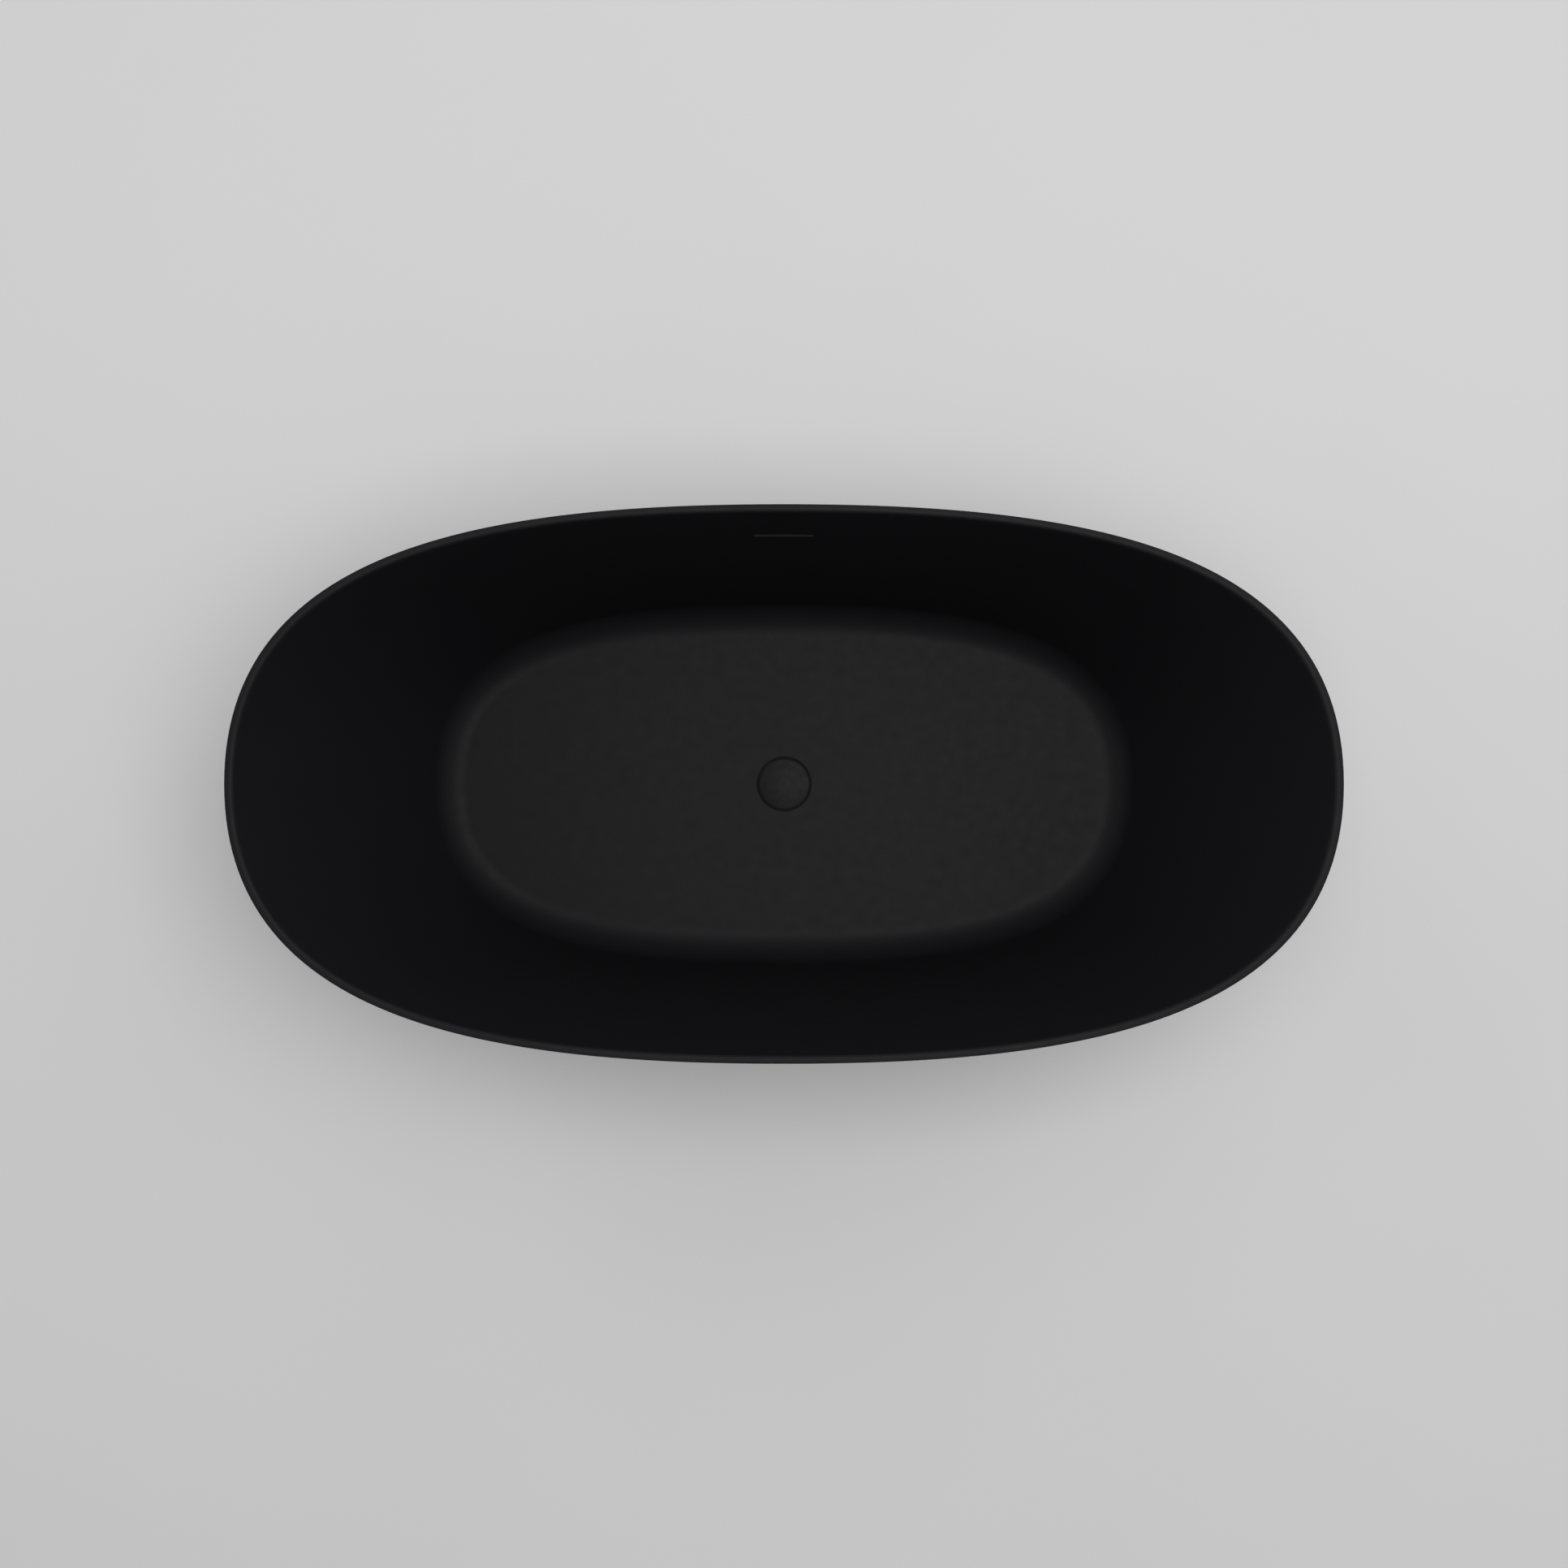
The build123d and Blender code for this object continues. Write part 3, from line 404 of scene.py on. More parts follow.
rings += [wall(SKIRT_OVALS, SKIRT_LEAN, LIP_BOTTOM), wall(BASIN_OVALS, BASIN_LEAN, LIP_BOTTOM, ACRYLIC)]
rings += [wall(BASIN_OVALS, BASIN_LEAN, row, ACRYLIC) for row in reversed(wall_rows[:-1])]
rings += [floor_round(step / BACK_STEPS, ACRYLIC) for step in range(BACK_STEPS, -1, -1)]
rings += [circle(WELL_RADIUS + ACRYLIC, FLOOR - ACRYLIC), circle(WELL_RADIUS + ACRYLIC, WELL_FLOOR - ACRYLIC)]
rings += [circle(HOLE_RADIUS, WELL_FLOOR - ACRYLIC)]
basin_form = ring_form(rings)
ease_rings(basin_form, [inner_edge], RIM_INNER_ROUND, 6)
ease_rings(basin_form, [inner_edge + 1], RIM_OUTER_ROUND, 4)
ease_rings(basin_form, [well_edge], WELL_EDGE_ROUND, 5)
basin = finished("basin", basin_form, matt_acrylic)


def apply_modifiers(piece):
    """Gives a piece the shape that its modifiers make as its own mesh."""
    bpy.context.view_layer.update()
    whole = piece.evaluated_get(bpy.context.evaluated_depsgraph_get())
    shaped = bpy.data.meshes.new_from_object(whole)
    piece.modifiers.clear()
    piece.data = shaped


SLOT_LEVEL = 0.490
SLOT_HALF = 0.043
SLOT_RADIUS = 0.004
SLOT_DEPTH = 0.06
SLOT_START = 0.37

slot_form = bmesh.new()
bmesh.ops.create_circle(slot_form, segments=32, radius=SLOT_RADIUS, cap_ends=True)
for vert in slot_form.verts:
    vert.co.x += math.copysign(SLOT_HALF - SLOT_RADIUS, vert.co.x)
pushed = bmesh.ops.extrude_face_region(slot_form, geom=slot_form.faces[:])["geom"]
pushed = [item for item in pushed if isinstance(item, bmesh.types.BMVert)]
bmesh.ops.translate(slot_form, vec=(0, 0, SLOT_DEPTH), verts=pushed)
stand_up = Matrix.Translation((0, SLOT_START, SLOT_LEVEL)) @ Matrix.Rotation(math.pi / 2, 4, "X")
bmesh.ops.transform(slot_form, matrix=stand_up, verts=slot_form.verts)
facing_out(slot_form)
cutter = finished("slot_cutter", slot_form, matt_acrylic)
cut = basin.modifiers.new("slot", "BOOLEAN")
cut.object = cutter
cut.solver = "EXACT"
apply_modifiers(basin)
basin.data.set_sharp_from_angle(angle=math.radians(SHARP))
bpy.data.objects.remove(cutter)
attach(basin, "tub")
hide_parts("basin_shell")

# ---------------------------------------------------------------- skirt
# The outer shell is a second sheet of the same acrylic, bonded to the basin behind the rim. It tapers to
# the floor and stops just over it.

SKIRT_STEPS = 14
skirt_rise = (SKIRT_TOP - SKIRT_FOOT) / SKIRT_STEPS
skirt_rows = [SKIRT_FOOT + skirt_rise * step for step in range(SKIRT_STEPS + 1)]
rings = [wall(SKIRT_OVALS, SKIRT_LEAN, row) for row in skirt_rows]
rings += [wall(SKIRT_OVALS, SKIRT_LEAN, row, -ACRYLIC) for row in reversed(skirt_rows)]
skirt_form = ring_form(rings)
ease_rings(skirt_form, [0], 0.0008, 2)
skirt = finished("skirt", skirt_form, matt_acrylic)
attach(skirt, "tub")
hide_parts("skirt_shell")

# ---------------------------------------------------------------- glass-fibre backing and the glue
# Chopped glass strand and polyester resin are rolled on behind both shells. A bead of filled resin joins
# the shells behind the rim.


def dress(finish, *nodes):
    """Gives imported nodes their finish."""
    for node in nodes:
        for slot_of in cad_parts[node].material_slots:
            slot_of.material = finish.material


glass_mat = Finish("glass_fibre_mat")
strands = glass_mat.node(
    "ShaderNodeTexNoise",
    {"noise_type": "RIDGED_MULTIFRACTAL"},
    {"Vector": glass_mat.place, "Scale": 140, "Detail": 5, "Distortion": 1.6},
    "Fac",
)
tufts = glass_mat.noise(38, 5, distortion=2.5)
pooled = glass_mat.noise(7, 3)
resin_tone = glass_mat.ramp(
    tufts * 0.7 + pooled * 0.3,
    (0.30, shade(0.20, (1, 1.02, 0.80))),
    (0.52, shade(0.33, (1, 1.03, 0.84))),
    (0.70, shade(0.46, (1, 1.02, 0.90))),
)
lit_strands = glass_mat.limited(strands, 0.9, 1.9, 0, 0.55)
glass_mat.set(
    base_color=glass_mat.mixed(lit_strands, resin_tone, shade(0.58, (1, 1, 0.93))),
    roughness=glass_mat.limited(pooled, 0.35, 0.65, 0.24, 0.55),
    normal=glass_mat.bump(strands * 0.5 + tufts, 0.0009, 0.9),
)
dress(glass_mat, "basin_backing", "skirt_backing")

filled_resin = Finish("filled_resin")
smears = filled_resin.noise(60, 4, filled_resin.stretched(1, 1, 3), distortion=1.2)
filled_resin.set(
    base_color=filled_resin.mixed(smears, shade(0.34, (1, 0.99, 0.92)), shade(0.48, (1, 0.99, 0.93))),
    roughness=filled_resin.limited(smears, 0.3, 0.7, 0.45, 0.7),
    normal=filled_resin.bump(smears, 0.0008),
)
dress(filled_resin, "rim_bond")

# ---------------------------------------------------------------- base board
# A chipboard panel laminated under the floor of the basin. Its faces are fine chips and its edges show
# the coarse core.

chipboard = Finish("chipboard")
chips = chipboard.flakes(210)
coarse = chipboard.flakes(75, chipboard.stretched(1, 1, 3))
dust = chipboard.noise(900, 3)
wood_tone = chipboard.ramp(
    chips * 0.45 + coarse * 0.35 + dust * 0.2,
    (0.20, shade(0.16, (1, 0.68, 0.40))),
    (0.50, shade(0.36, (1, 0.74, 0.48))),
    (0.80, shade(0.52, (1, 0.80, 0.56))),
)
chipboard.set(
    base_color=wood_tone,
    roughness=chipboard.limited(chips, 0, 1, 0.68, 0.88),
    normal=chipboard.bump(chips * 0.6 + dust * 0.4, 0.0003, 0.8),
)
dress(chipboard, "base_board")

# ---------------------------------------------------------------- welded underframe
# Two rails and four cross bars of square steel tube, zinc plated after welding. Nylon caps close the
# tubes, and short beads join each rail to each bar.

zinc_plate = Finish("zinc_plated_tube", metallic=1.0)
spangle = zinc_plate.flakes(160)
handled = zinc_plate.noise(14, 4)
drawn_lines = zinc_plate.noise(90, 3, zinc_plate.stretched(1, 1, 14))
zinc_plate.set(
    base_color=zinc_plate.ramp(
        spangle * 0.35 + handled * 0.65,
        (0.25, shade(0.40, (0.96, 0.99, 1))),
        (0.55, shade(0.55, (0.98, 1, 1))),
        (0.80, shade(0.66, (1, 0.99, 0.95))),
    ),
    roughness=zinc_plate.limited(handled * 0.6 + spangle * 0.4, 0.3, 0.7, 0.30, 0.52),
    normal=zinc_plate.bump(drawn_lines * 0.6 + spangle * 0.4, 0.00006, 0.7),
)
dress(zinc_plate, "frame_rail_front", "frame_rail_back", "skirt_brackets")
dress(zinc_plate, *[f"frame_bar_{number}" for number in range(1, 5)])

weld_metal = Finish("weld_metal", metallic=1.0)
ripples = weld_metal.node(
    "ShaderNodeTexWave",
    {"bands_direction": "X"},
    {"Vector": weld_metal.place, "Scale": 130, "Distortion": 3.0, "Detail": 2, "Detail Scale": 2.0},
    "Fac",
)
spatter = weld_metal.noise(300, 3)
weld_metal.set(
    base_color=weld_metal.mixed(spatter, shade(0.24, (1, 0.98, 0.94)), shade(0.46, (0.98, 0.99, 1))),
    roughness=weld_metal.limited(spatter, 0.3, 0.7, 0.34, 0.6),
    normal=weld_metal.bump(ripples * 0.8 + spatter * 0.2, 0.0005),
)
dress(weld_metal, "weld_beads")

FEET = range(1, 6)
black_nylon = Finish("black_nylon")
spark_grain = black_nylon.noise(1900, 3, rough=0.65)
scuffs = black_nylon.noise(160, 4, black_nylon.stretched(1, 4, 1), distortion=1.0)
black_nylon.set(
    base_color=black_nylon.mixed(black_nylon.limited(scuffs, 0.45, 0.75, 0, 1), shade(0.013), shade(0.026)),
    roughness=black_nylon.limited(scuffs, 0.3, 0.7, 0.40, 0.56),
    normal=black_nylon.bump(spark_grain, 0.00008, 0.8),
)
dress(black_nylon, "tube_end_caps", *[f"foot_pad_{number}" for number in FEET])

# ---------------------------------------------------------------- skirt blocks
# Softwood blocks glued inside the skirt take the screws of the brackets. The grain runs along the tub.

pine = Finish("planed_pine")
rings_of_growth = pine.node(
    "ShaderNodeTexWave",
    {"wave_type": "RINGS", "rings_direction": "X"},
    {"Vector": pine.stretched(0.12, 1, 1), "Scale": 46, "Distortion": 2.4, "Detail": 2, "Detail Scale": 0.8},
    "Fac",
)
fibres = pine.noise(420, 4, pine.stretched(0.06, 1, 1))
pine.set(
    base_color=pine.ramp(
        rings_of_growth * 0.7 + fibres * 0.3,
        (0.15, shade(0.62, (1, 0.76, 0.50))),
        (0.60, shade(0.50, (1, 0.70, 0.42))),
        (0.95, shade(0.30, (1, 0.60, 0.32))),
    ),
    roughness=pine.limited(fibres, 0.3, 0.7, 0.55, 0.75),
    normal=pine.bump(fibres * 0.7 + rings_of_growth * 0.3, 0.00018, 0.8),
)
dress(pine, "skirt_blocks")

# ---------------------------------------------------------------- screws
# Pan-head screws with a cross recess: twelve hold the rails up against the board, and two hold each
# bracket. They are cold headed from steel wire and zinc plated.

zinc_fastener = Finish("zinc_plated_fastener", metallic=1.0)
passivated = zinc_fastener.noise(240, 3)
rub = zinc_fastener.noise(1400, 2)
zinc_fastener.set(
    base_color=zinc_fastener.ramp(
        passivated,
        (0.30, shade(0.48, (0.95, 0.99, 1))),
        (0.52, shade(0.60, (1, 1, 0.97))),
        (0.72, shade(0.64, (1, 0.97, 0.86))),
    ),
    roughness=zinc_fastener.limited(passivated, 0.3, 0.7, 0.22, 0.40),
    normal=zinc_fastener.bump(rub, 0.00003, 0.6),
)


def cross_cut(arm, half_width, height):
    """A ring round a cross recess."""

    def ring(turn):
        angle = turn * 2 * math.pi
        off_arm = abs((angle + math.pi / 4) % (math.pi / 2) - math.pi / 4)
        along = arm / math.cos(off_arm)
        across = half_width / max(math.sin(off_arm), 1e-6)
        reach = min(along, across)
        return Vector((reach * math.cos(angle), reach * math.sin(angle), height))

    return ring


def pan_head_screw(length, shank):
    """A screw that points down, with the underside of its head at height 0."""
    head = 0.0046
    dome = 0.0030
    recess = 0.0012
    rings = [circle(POLE, recess), cross_cut(0.0010, 0.00035, recess), cross_cut(0.0023, 0.0005, dome)]
    rings += [circle(0.0030, dome - 0.00002), circle(0.0039, dome - 0.0004), circle(0.00445, dome - 0.0011)]
    rings += [circle(head, dome - 0.0019), circle(head, 0.0002), circle(head - 0.0002, 0)]
    rings += [circle(shank, 0), circle(shank, -length), circle(POLE, -length)]
    return ring_form(rings, closed=False, steps=48)


def placed(matrices, *forms):
    """Forms put together and repeated at each matrix."""
    source = bpy.data.meshes.new("source")
    together = bmesh.new()
    for form in forms:
        form.to_mesh(source)
        form.free()
        together.from_mesh(source)
    together.to_mesh(source)
    together.free()
    gathered = bmesh.new()
    for matrix in matrices:
        before = len(gathered.verts)
        gathered.from_mesh(source)
        gathered.verts.ensure_lookup_table()
        bmesh.ops.transform(gathered, matrix=matrix, verts=gathered.verts[before:])
    bpy.data.meshes.remove(source)
    return gathered


RAIL_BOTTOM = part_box("frame_rail_front")[0].z
BAR_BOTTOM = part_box("frame_bar_1")[0].z
BRACKET_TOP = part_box("skirt_brackets")[1].z
RAIL_SCREWS_X = (0.060, 0.220, 0.320)
RAIL_OFF = 0.140
BLOCK_FACES = ((0.400, 0.232), (0.135, 0.284))
BRACKET_STRIP = 0.0025
DOWN_SCREW_IN = 0.028
IN_SCREW_DROP = 0.013
FOUR_CORNERS = [(side_x, side_y) for side_x in (-1, 1) for side_y in (-1, 1)]

rail_screws = [
    Matrix.Translation((side_x * x, side_y * RAIL_OFF, RAIL_BOTTOM)) @ Matrix.Rotation(math.pi, 4, "X")
    for x in RAIL_SCREWS_X
    for side_x, side_y in FOUR_CORNERS
]
bracket_down = []
bracket_in = []
for x, face in BLOCK_FACES:
    for side_x, side_y in FOUR_CORNERS:
        above = Vector((side_x * x, side_y * (face - DOWN_SCREW_IN), BRACKET_TOP))
        beside = Vector((side_x * x, side_y * (face - BRACKET_STRIP), BAR_BOTTOM - IN_SCREW_DROP))
        bracket_down.append(Matrix.Translation(above))
        bracket_in.append(Matrix.Translation(beside) @ Matrix.Rotation(side_y * math.pi / 2, 4, "X"))
for name, length, shank, spots, node in (
    ("rail_screws", 0.038, 0.0022, rail_screws, "frame_screws"),
    ("bracket_screws_down", 0.012, 0.0024, bracket_down, "bracket_screws"),
    ("bracket_screws_in", 0.018, 0.0024, bracket_in, "bracket_screws"),
):
    screws = finished(name, placed(spots, pan_head_screw(length, shank)), zinc_fastener)
    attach(screws, "tub")
    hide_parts(node)

# ---------------------------------------------------------------- levelling feet
# Five M12 studs run through nuts welded under the cross bars, each with a lock nut. A stud ends in a ball
# that snaps into a nylon pad, and a rubber disc under the pad grips the floor.

NUT_HOLE = 0.0061
NUT_FLATS = 0.019
FACE_SHARE = 0.484
THREAD_CREST = 0.0060
THREAD_ROOT = 0.0051
THREAD_PITCH = 0.00175
THREAD_FOOT = 0.033
THREAD_TURNS = 42
THREAD_STEPS = 24
BALL_RADIUS = 0.0072
BALL_MIDDLE = 0.014
NECK_RADIUS = 0.0052
SPANNER_FLATS = 0.017
SPANNER_FOOT = 0.024
SPANNER_TOP = 0.032
STUD_TOP = 0.108
STUD_CHAMFER = 0.0008
foot_spots = [sum(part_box(f"foot_stud_{number}"), Vector()) / 2 for number in FEET]


def hexagon_edge(flats, height, side):
    """The wavy edge where a nut's chamfer meets its flats; side is 1 at its foot and -1 at its top."""

    def ring(turn):
        angle = turn * 2 * math.pi
        reach = flats / 2 / math.cos((angle % (math.pi / 3)) - math.pi / 6)
        drop = (reach - FACE_SHARE * flats) * math.tan(math.pi / 6)
        return Vector((reach * math.cos(angle), reach * math.sin(angle), height + side * drop))

    return ring


def nut_form(flats, foot, top):
    """A chamfered hexagonal nut with eased ends to its thread."""
    ease = 0.0006
    face = FACE_SHARE * flats
    rings = [circle(NUT_HOLE, foot + ease), circle(NUT_HOLE + ease, foot), circle(face, foot)]
    rings += [hexagon_edge(flats, foot, 1), hexagon_edge(flats, top, -1)]
    rings += [circle(face, top), circle(NUT_HOLE + ease, top), circle(NUT_HOLE, top - ease)]
    return ring_form(rings, steps=48)


for name, node in (("welded_nuts", "weld_nuts"), ("locking_nuts", "lock_nuts")):
    low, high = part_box(node)
    spots = [Matrix.Translation((spot.x, spot.y, 0)) for spot in foot_spots]
    nuts = finished(name, placed(spots, nut_form(NUT_FLATS, low.z, high.z)), zinc_fastener, sharp=20)
    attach(nuts, "tub")
    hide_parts(node)


def stud_core():
    """A stud with its ball and its spanner hexagon, turned down to the root of the thread."""
    rings = [circle(POLE, BALL_MIDDLE - BALL_RADIUS)]
    for step in range(1, 11):
        angle = step * math.pi / 14
        rings.append(circle(BALL_RADIUS * math.sin(angle), BALL_MIDDLE - BALL_RADIUS * math.cos(angle)))
    face = FACE_SHARE * SPANNER_FLATS
    rings += [circle(NECK_RADIUS, 0.0205), circle(NECK_RADIUS, SPANNER_FOOT), circle(face, SPANNER_FOOT)]
    rings += [hexagon_edge(SPANNER_FLATS, SPANNER_FOOT, 1), hexagon_edge(SPANNER_FLATS, SPANNER_TOP, -1)]
    rings += [circle(face, SPANNER_TOP), circle(THREAD_ROOT, SPANNER_TOP)]
    rings += [circle(THREAD_ROOT, STUD_TOP - STUD_CHAMFER), circle(THREAD_ROOT - STUD_CHAMFER, STUD_TOP)]
    rings += [circle(POLE, STUD_TOP)]
    return ring_form(rings, closed=False, steps=48)


def thread_form():
    """The ridge of a right-hand thread."""
    form = bmesh.new()
    profile = [form.verts.new((THREAD_ROOT - 0.0001, 0, THREAD_FOOT + half)) for half in (-0.0008, 0.0008)]
    profile.insert(1, form.verts.new((THREAD_CREST, 0, THREAD_FOOT)))
    edges = [form.edges.new(pair) for pair in zip(profile, profile[1:] + profile[:1])]
    turn_round = {"axis": (0, 0, 1), "cent": (0, 0, 0), "angle": THREAD_TURNS * 2 * math.pi}
    rise = {"dvec": (0, 0, THREAD_PITCH / THREAD_STEPS), "steps": THREAD_TURNS * THREAD_STEPS}
    bmesh.ops.spin(form, geom=profile + edges, **turn_round, **rise)
    bmesh.ops.holes_fill(form, edges=[edge for edge in form.edges if edge.is_boundary], sides=3)
    facing_out(form)
    return form


for number, spot in enumerate(foot_spots, 1):
    spots = [Matrix.Translation((spot.x, spot.y, 0))]
    stud = finished(f"threaded_stud_{number}", placed(spots, stud_core(), thread_form()), zinc_fastener)
    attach(stud, f"stud_{number}")
    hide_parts(f"foot_stud_{number}")

foot_rubber = Finish("foot_rubber")
bloom = foot_rubber.noise(45, 5)
dusty = foot_rubber.limited(bloom, 0.4, 0.75, 0, 1)
foot_rubber.set(
    base_color=foot_rubber.mixed(dusty, shade(0.014), shade(0.040, (1, 0.99, 0.96))),
    roughness=foot_rubber.limited(bloom, 0.3, 0.7, 0.72, 0.9),
    normal=foot_rubber.bump(foot_rubber.noise(1500, 3), 0.0001, 0.8),
)
dress(foot_rubber, *[f"foot_grip_{number}" for number in FEET])

# ---------------------------------------------------------------- waste
# A brass flange is drawn down on a rubber ring by the plastic body under the board. Its spider carries
# the brass barrel of the click mechanism.

blackened_brass = Finish("blackened_brass", metallic=0.85)
worn = blackened_brass.noise(120, 4)
rubbed = blackened_brass.limited(worn, 0.5, 0.8, 0, 0.5)
blackened_brass.set(
    base_color=blackened_brass.mixed(rubbed, shade(0.010), shade(0.030, (1, 0.93, 0.84))),
    roughness=blackened_brass.limited(worn, 0.3, 0.7, 0.42, 0.58),
    normal=blackened_brass.bump(blackened_brass.noise(1600, 2), 0.00003, 0.6),
)
dress(blackened_brass, "waste_flange")

plain_brass = Finish("plain_brass", metallic=1.0)
tarnish = plain_brass.noise(90, 5, distortion=0.6)
turning = plain_brass.noise(260, 2, plain_brass.stretched(0.2, 0.2, 12))
plain_brass.set(
    base_color=plain_brass.ramp(
        tarnish,
        (0.25, shade(0.36, (1, 0.72, 0.36))),
        (0.50, shade(0.62, (1, 0.76, 0.40))),
        (0.75, shade(0.74, (1, 0.80, 0.46))),
    ),
    roughness=plain_brass.limited(tarnish, 0.3, 0.7, 0.20, 0.38),
    normal=plain_brass.bump(turning, 0.00005, 0.7),
)
dress(plain_brass, "plug_stem", "click_barrel")

seal_rubber = Finish("seal_rubber")
mould_bloom = seal_rubber.noise(130, 4)
seal_rubber.set(
    base_color=seal_rubber.mixed(mould_bloom, shade(0.010), shade(0.022, (1, 1, 1.03))),
    roughness=seal_rubber.limited(mould_bloom, 0.3, 0.7, 0.58, 0.8),
    normal=seal_rubber.bump(seal_rubber.noise(1700, 2), 0.00005, 0.7),
)
dress(seal_rubber, "flange_seal", "lower_seal", "plug_seal", "overflow_gasket")

white_plastic = Finish("white_polypropylene")
flow = white_plastic.noise(16, 3, distortion=0.8)
fine_texture = white_plastic.noise(1400, 3, rough=0.6)
white_plastic.set(
    base_color=white_plastic.mixed(flow, shade(0.66, (1, 1, 0.965)), shade(0.74, (1, 1, 0.985))),
    roughness=white_plastic.limited(flow, 0.3, 0.7, 0.36, 0.48),
    normal=white_plastic.bump(fine_texture, 0.00005, 0.7),
)
dress(white_plastic, "waste_body", "overflow_box")

acetal = Finish("white_acetal")
milky = acetal.noise(220, 3)
acetal.set(
    base_color=acetal.mixed(milky, shade(0.74, (1, 1, 0.98)), shade(0.82)),
    roughness=acetal.limited(milky, 0.3, 0.7, 0.28, 0.40),
    normal=acetal.bump(acetal.noise(2500, 2), 0.00002, 0.6),
)
dress(acetal, "click_rotor")

spring_wire = Finish("spring_steel", metallic=1.0)
drawn_wire = spring_wire.noise(900, 3)
spring_wire.set(
    base_color=spring_wire.mixed(drawn_wire, shade(0.34, (1, 0.98, 0.95)), shade(0.56, (0.98, 0.99, 1))),
    roughness=spring_wire.limited(drawn_wire, 0.3, 0.7, 0.22, 0.36),
)
dress(spring_wire, "click_spring")

# ---------------------------------------------------------------- plug
# The plug is a turned brass disc with a low dome, coated black. It stands a little out of its recess,
# and a push sends it down or up on the stem.

coated_brass = Finish("black_coated_brass")
coat_grain = coated_brass.noise(2400, 3, rough=0.6)
coat_depth = coated_brass.noise(60, 3)
coated_brass.set(
    base_color=coated_brass.mixed(coat_depth, shade(0.0018, COOL_BLACK), shade(0.0028, COOL_BLACK)),
    roughness=coated_brass.limited(coated_brass.noise(90, 4), 0.3, 0.7, 0.38, 0.44),
    specular_ior_level=0.075,
    normal=coated_brass.bump(coat_grain, 0.00002, 0.6),
)
plug_low, plug_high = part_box("plug_cap")
PLUG_RADIUS = plug_high.x
PLUG_CROWN = 0.0020
PLUG_EDGE_ROUND = 0.0008
PLUG_UNDER_ROUND = 0.0003
PLUG_BOSS = 0.0070
PLUG_BOSS_HEIGHT = 0.005
STEM_HOLE = 0.00305
STEM_HOLE_DEPTH = 0.0071
DOME_STEPS = 10
EDGE_STEPS = 6
round_top = plug_high.z - PLUG_CROWN + 0.00008
plug_under = plug_low.z + PLUG_BOSS_HEIGHT
stem_end = plug_low.z + STEM_HOLE_DEPTH
inner = PLUG_RADIUS - PLUG_EDGE_ROUND
rings = [circle(POLE, plug_high.z)]
for step in range(1, DOME_STEPS):
    radius = inner * step / DOME_STEPS
    rings.append(circle(radius, plug_high.z - PLUG_CROWN * (radius / PLUG_RADIUS) ** 2))
for step in range(EDGE_STEPS + 1):
    angle = step / EDGE_STEPS * math.pi / 2
    drop = PLUG_EDGE_ROUND * (1 - math.cos(angle))
    rings.append(circle(inner + PLUG_EDGE_ROUND * math.sin(angle), round_top - drop))
rings += [circle(PLUG_RADIUS, plug_under + PLUG_UNDER_ROUND)]
rings += [circle(PLUG_RADIUS - PLUG_UNDER_ROUND, plug_under)]
rings += [circle(PLUG_BOSS, plug_under), circle(PLUG_BOSS, plug_low.z)]
rings += [circle(STEM_HOLE, plug_low.z), circle(STEM_HOLE, stem_end), circle(POLE, stem_end)]
plug = finished("plug", ring_form(rings, closed=False, steps=128), coated_brass)
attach(plug, "plug")
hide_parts("plug_cap")

# ---------------------------------------------------------------- overflow hose and clips
# A corrugated hose takes the overflow's water down between the shells and in under the board to the
# waste. A worm-drive clip of stainless band holds each end.

hose_grey = Finish("grey_corrugated_hose")
streaks = hose_grey.noise(70, 4)
hose_grey.set(
    base_color=hose_grey.mixed(streaks, shade(0.30, (0.98, 1, 1.02)), shade(0.38, (0.98, 1, 1.02))),
    roughness=hose_grey.limited(streaks, 0.3, 0.7, 0.42, 0.58),
    normal=hose_grey.bump(hose_grey.noise(1300, 2), 0.00005, 0.7),
)
HOSE_RADIUS = 0.013
HOSE_VALLEY = 0.0114
HOSE_BORE = 0.0108
CORRUGATION = 0.0046
HOSE_CUFF = 0.030
CUFF_STEP = 0.002
MOUTH_ROUND = 0.0004
BORE_STEPS = 60
HOSE_ROUTE = (
    (0.3284, 0.3272), (0.3253, 0.3140), (0.3186, 0.2855), (0.3125, 0.2300), (0.3082, 0.1880),
    (0.3020, 0.1440), (0.2880, 0.1150), (0.2560, 0.0835), (0.2150, 0.0800), (0.1200, 0.0800),
    (0.0700, 0.0800), (0.0400, 0.0800),
)

route_curve = bpy.data.curves.new("hose_route", "CURVE")
route_curve.dimensions = "3D"
route_curve.resolution_u = 16
route_spline = route_curve.splines.new("NURBS")
route_spline.points.add(len(HOSE_ROUTE) - 1)
for point, (y, z) in zip(route_spline.points, HOSE_ROUTE):
    point.co = (0, y, z, 1)
route_spline.order_u = 3
route_spline.use_endpoint_u = True
route = bpy.data.objects.new("hose_route", route_curve)
scene.collection.objects.link(route)
hose_length = route_spline.calc_length()

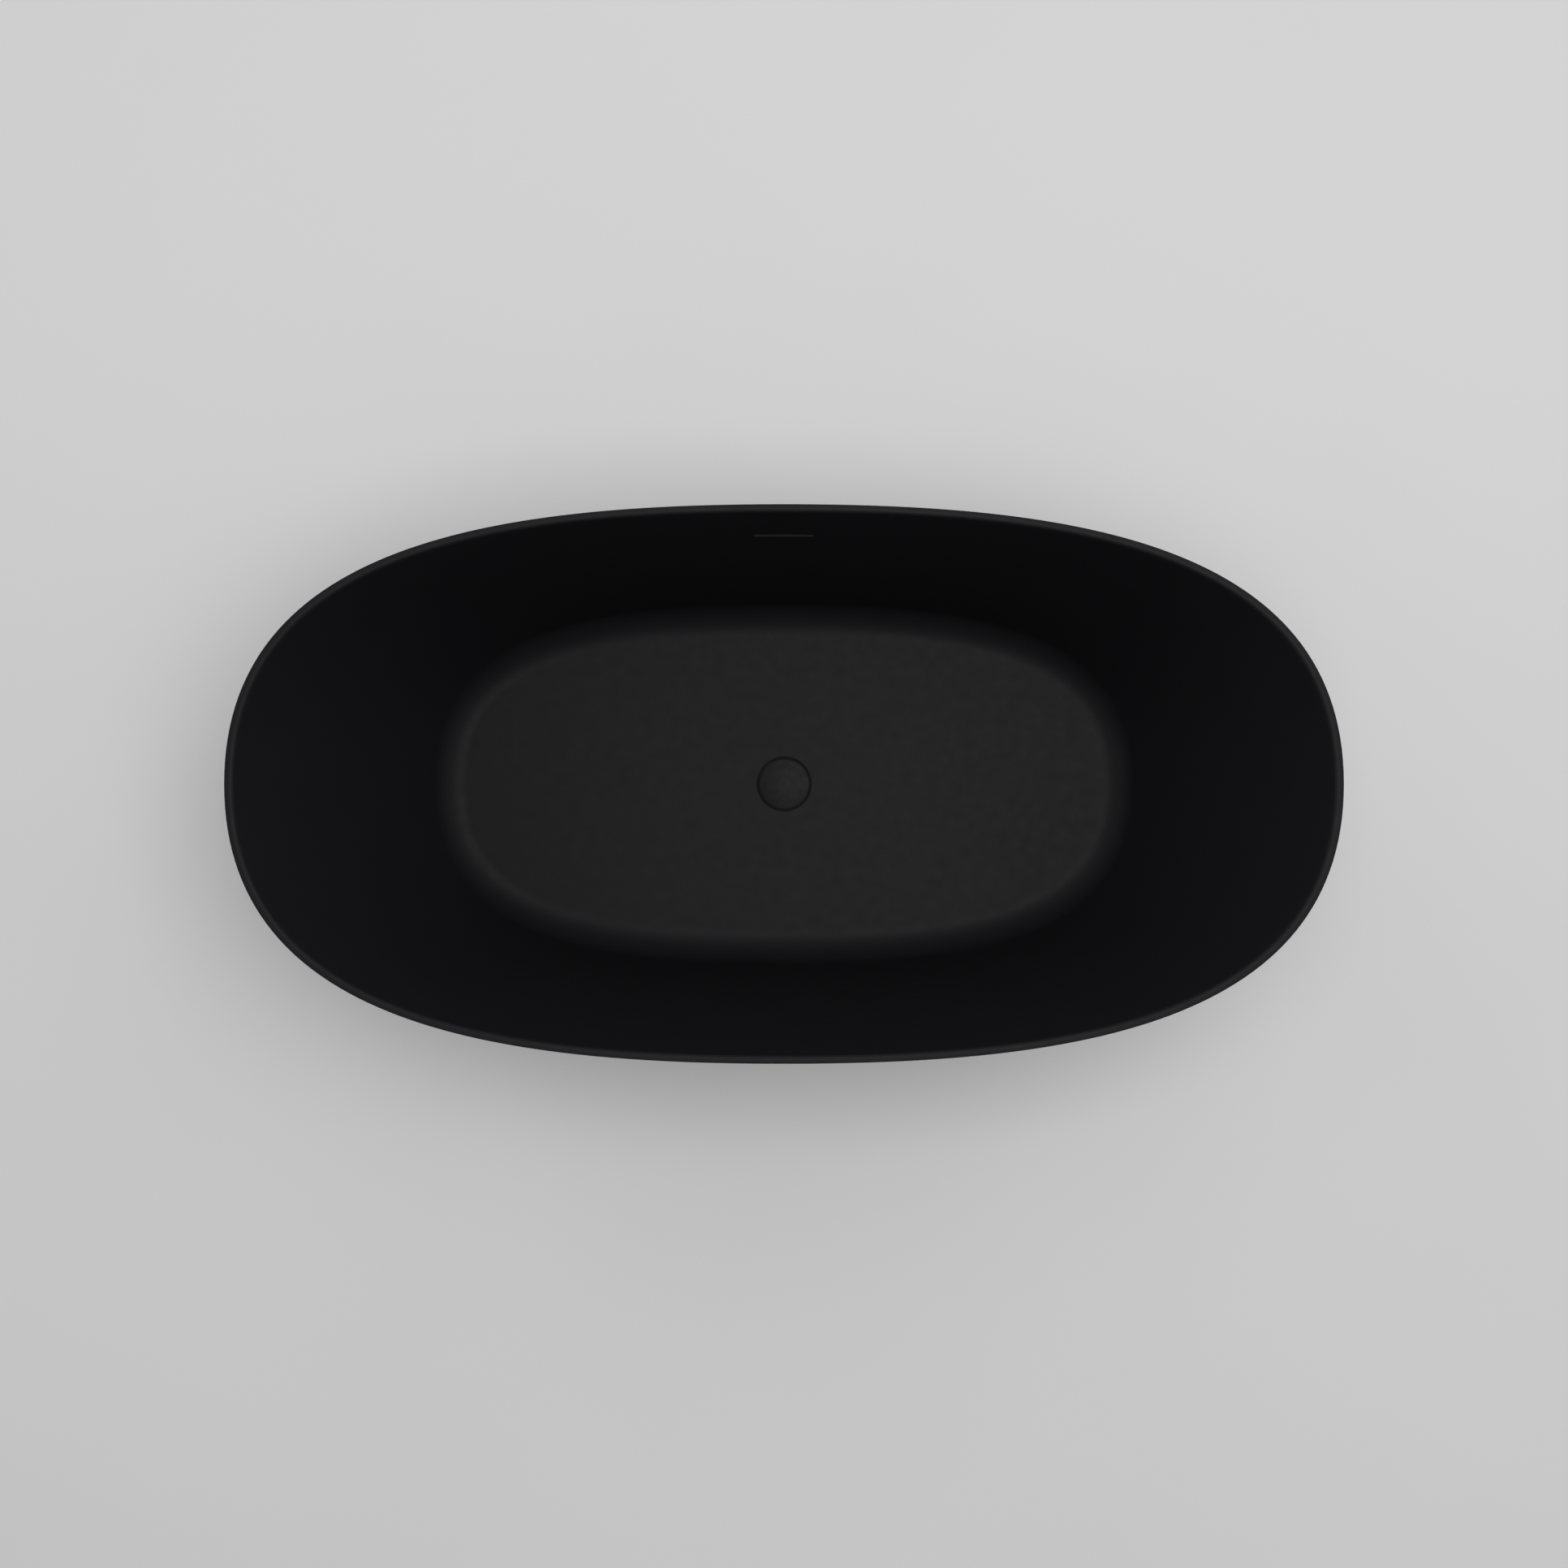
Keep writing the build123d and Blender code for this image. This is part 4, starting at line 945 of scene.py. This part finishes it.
# One corrugation: shares of its length and the radius there.
WAVE = (
    (0, HOSE_VALLEY),
    (0.25, HOSE_VALLEY + 0.0002),
    (0.42, HOSE_RADIUS - 0.0002),
    (0.62, HOSE_RADIUS),
    (0.82, HOSE_RADIUS - 0.0002),
)
waves = round((hose_length - 2 * HOSE_CUFF) / CORRUGATION)
pitch = (hose_length - 2 * HOSE_CUFF) / waves
far_cuff = hose_length - HOSE_CUFF
profile = [(0, HOSE_RADIUS - MOUTH_ROUND), (MOUTH_ROUND, HOSE_RADIUS), (HOSE_CUFF - CUFF_STEP, HOSE_RADIUS)]
profile += [(HOSE_CUFF + (wave + share) * pitch, radius) for wave in range(waves) for share, radius in WAVE]
profile += [(far_cuff, HOSE_VALLEY), (far_cuff + CUFF_STEP, HOSE_RADIUS)]
profile += [(hose_length - MOUTH_ROUND, HOSE_RADIUS), (hose_length, HOSE_RADIUS - MOUTH_ROUND)]
inside = [(hose_length * step / BORE_STEPS, HOSE_BORE) for step in range(BORE_STEPS, -1, -1)]
hose_form = bmesh.new()
points = [hose_form.verts.new((x, 0, radius)) for x, radius in profile + inside]
edges = [hose_form.edges.new(pair) for pair in zip(points, points[1:] + points[:1])]
turn_round = {"axis": (1, 0, 0), "cent": (0, 0, 0), "angle": 2 * math.pi, "steps": 28}
bmesh.ops.spin(hose_form, geom=points + edges, use_merge=True, **turn_round)
facing_out(hose_form)
hose = finished("corrugated_hose", hose_form, hose_grey, sharp=60)
bent = hose.modifiers.new("route", "CURVE")
bent.object = route
bent.deform_axis = "POS_X"
apply_modifiers(hose)
bpy.data.objects.remove(route)
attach(hose, "tub")
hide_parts("overflow_hose")

stainless = Finish("stainless_band", metallic=1.0)
brushed = stainless.noise(200, 3, stainless.stretched(1, 1, 6))
stainless.set(
    base_color=stainless.mixed(brushed, shade(0.46, (1, 0.99, 0.97)), shade(0.60, (1, 0.99, 0.98))),
    roughness=stainless.limited(brushed, 0.3, 0.7, 0.20, 0.36),
    normal=stainless.bump(brushed, 0.00004, 0.7),
)
dress(stainless, "hose_clip_upper", "hose_clip_lower")

# ---------------------------------------------------------------- the floor of the studio
# A plain pale floor, far wider than the tub.

pale_floor = Finish("pale_floor")
pale_floor.set(
    base_color=pale_floor.mixed(pale_floor.noise(3, 4), shade(0.60), shade(0.615)),
    roughness=0.75,
)
FLOOR_REACH = 30
floor_form = bmesh.new()
bmesh.ops.create_grid(floor_form, x_segments=1, y_segments=1, size=FLOOR_REACH)
studio_floor = finished("studio_floor", floor_form, pale_floor)
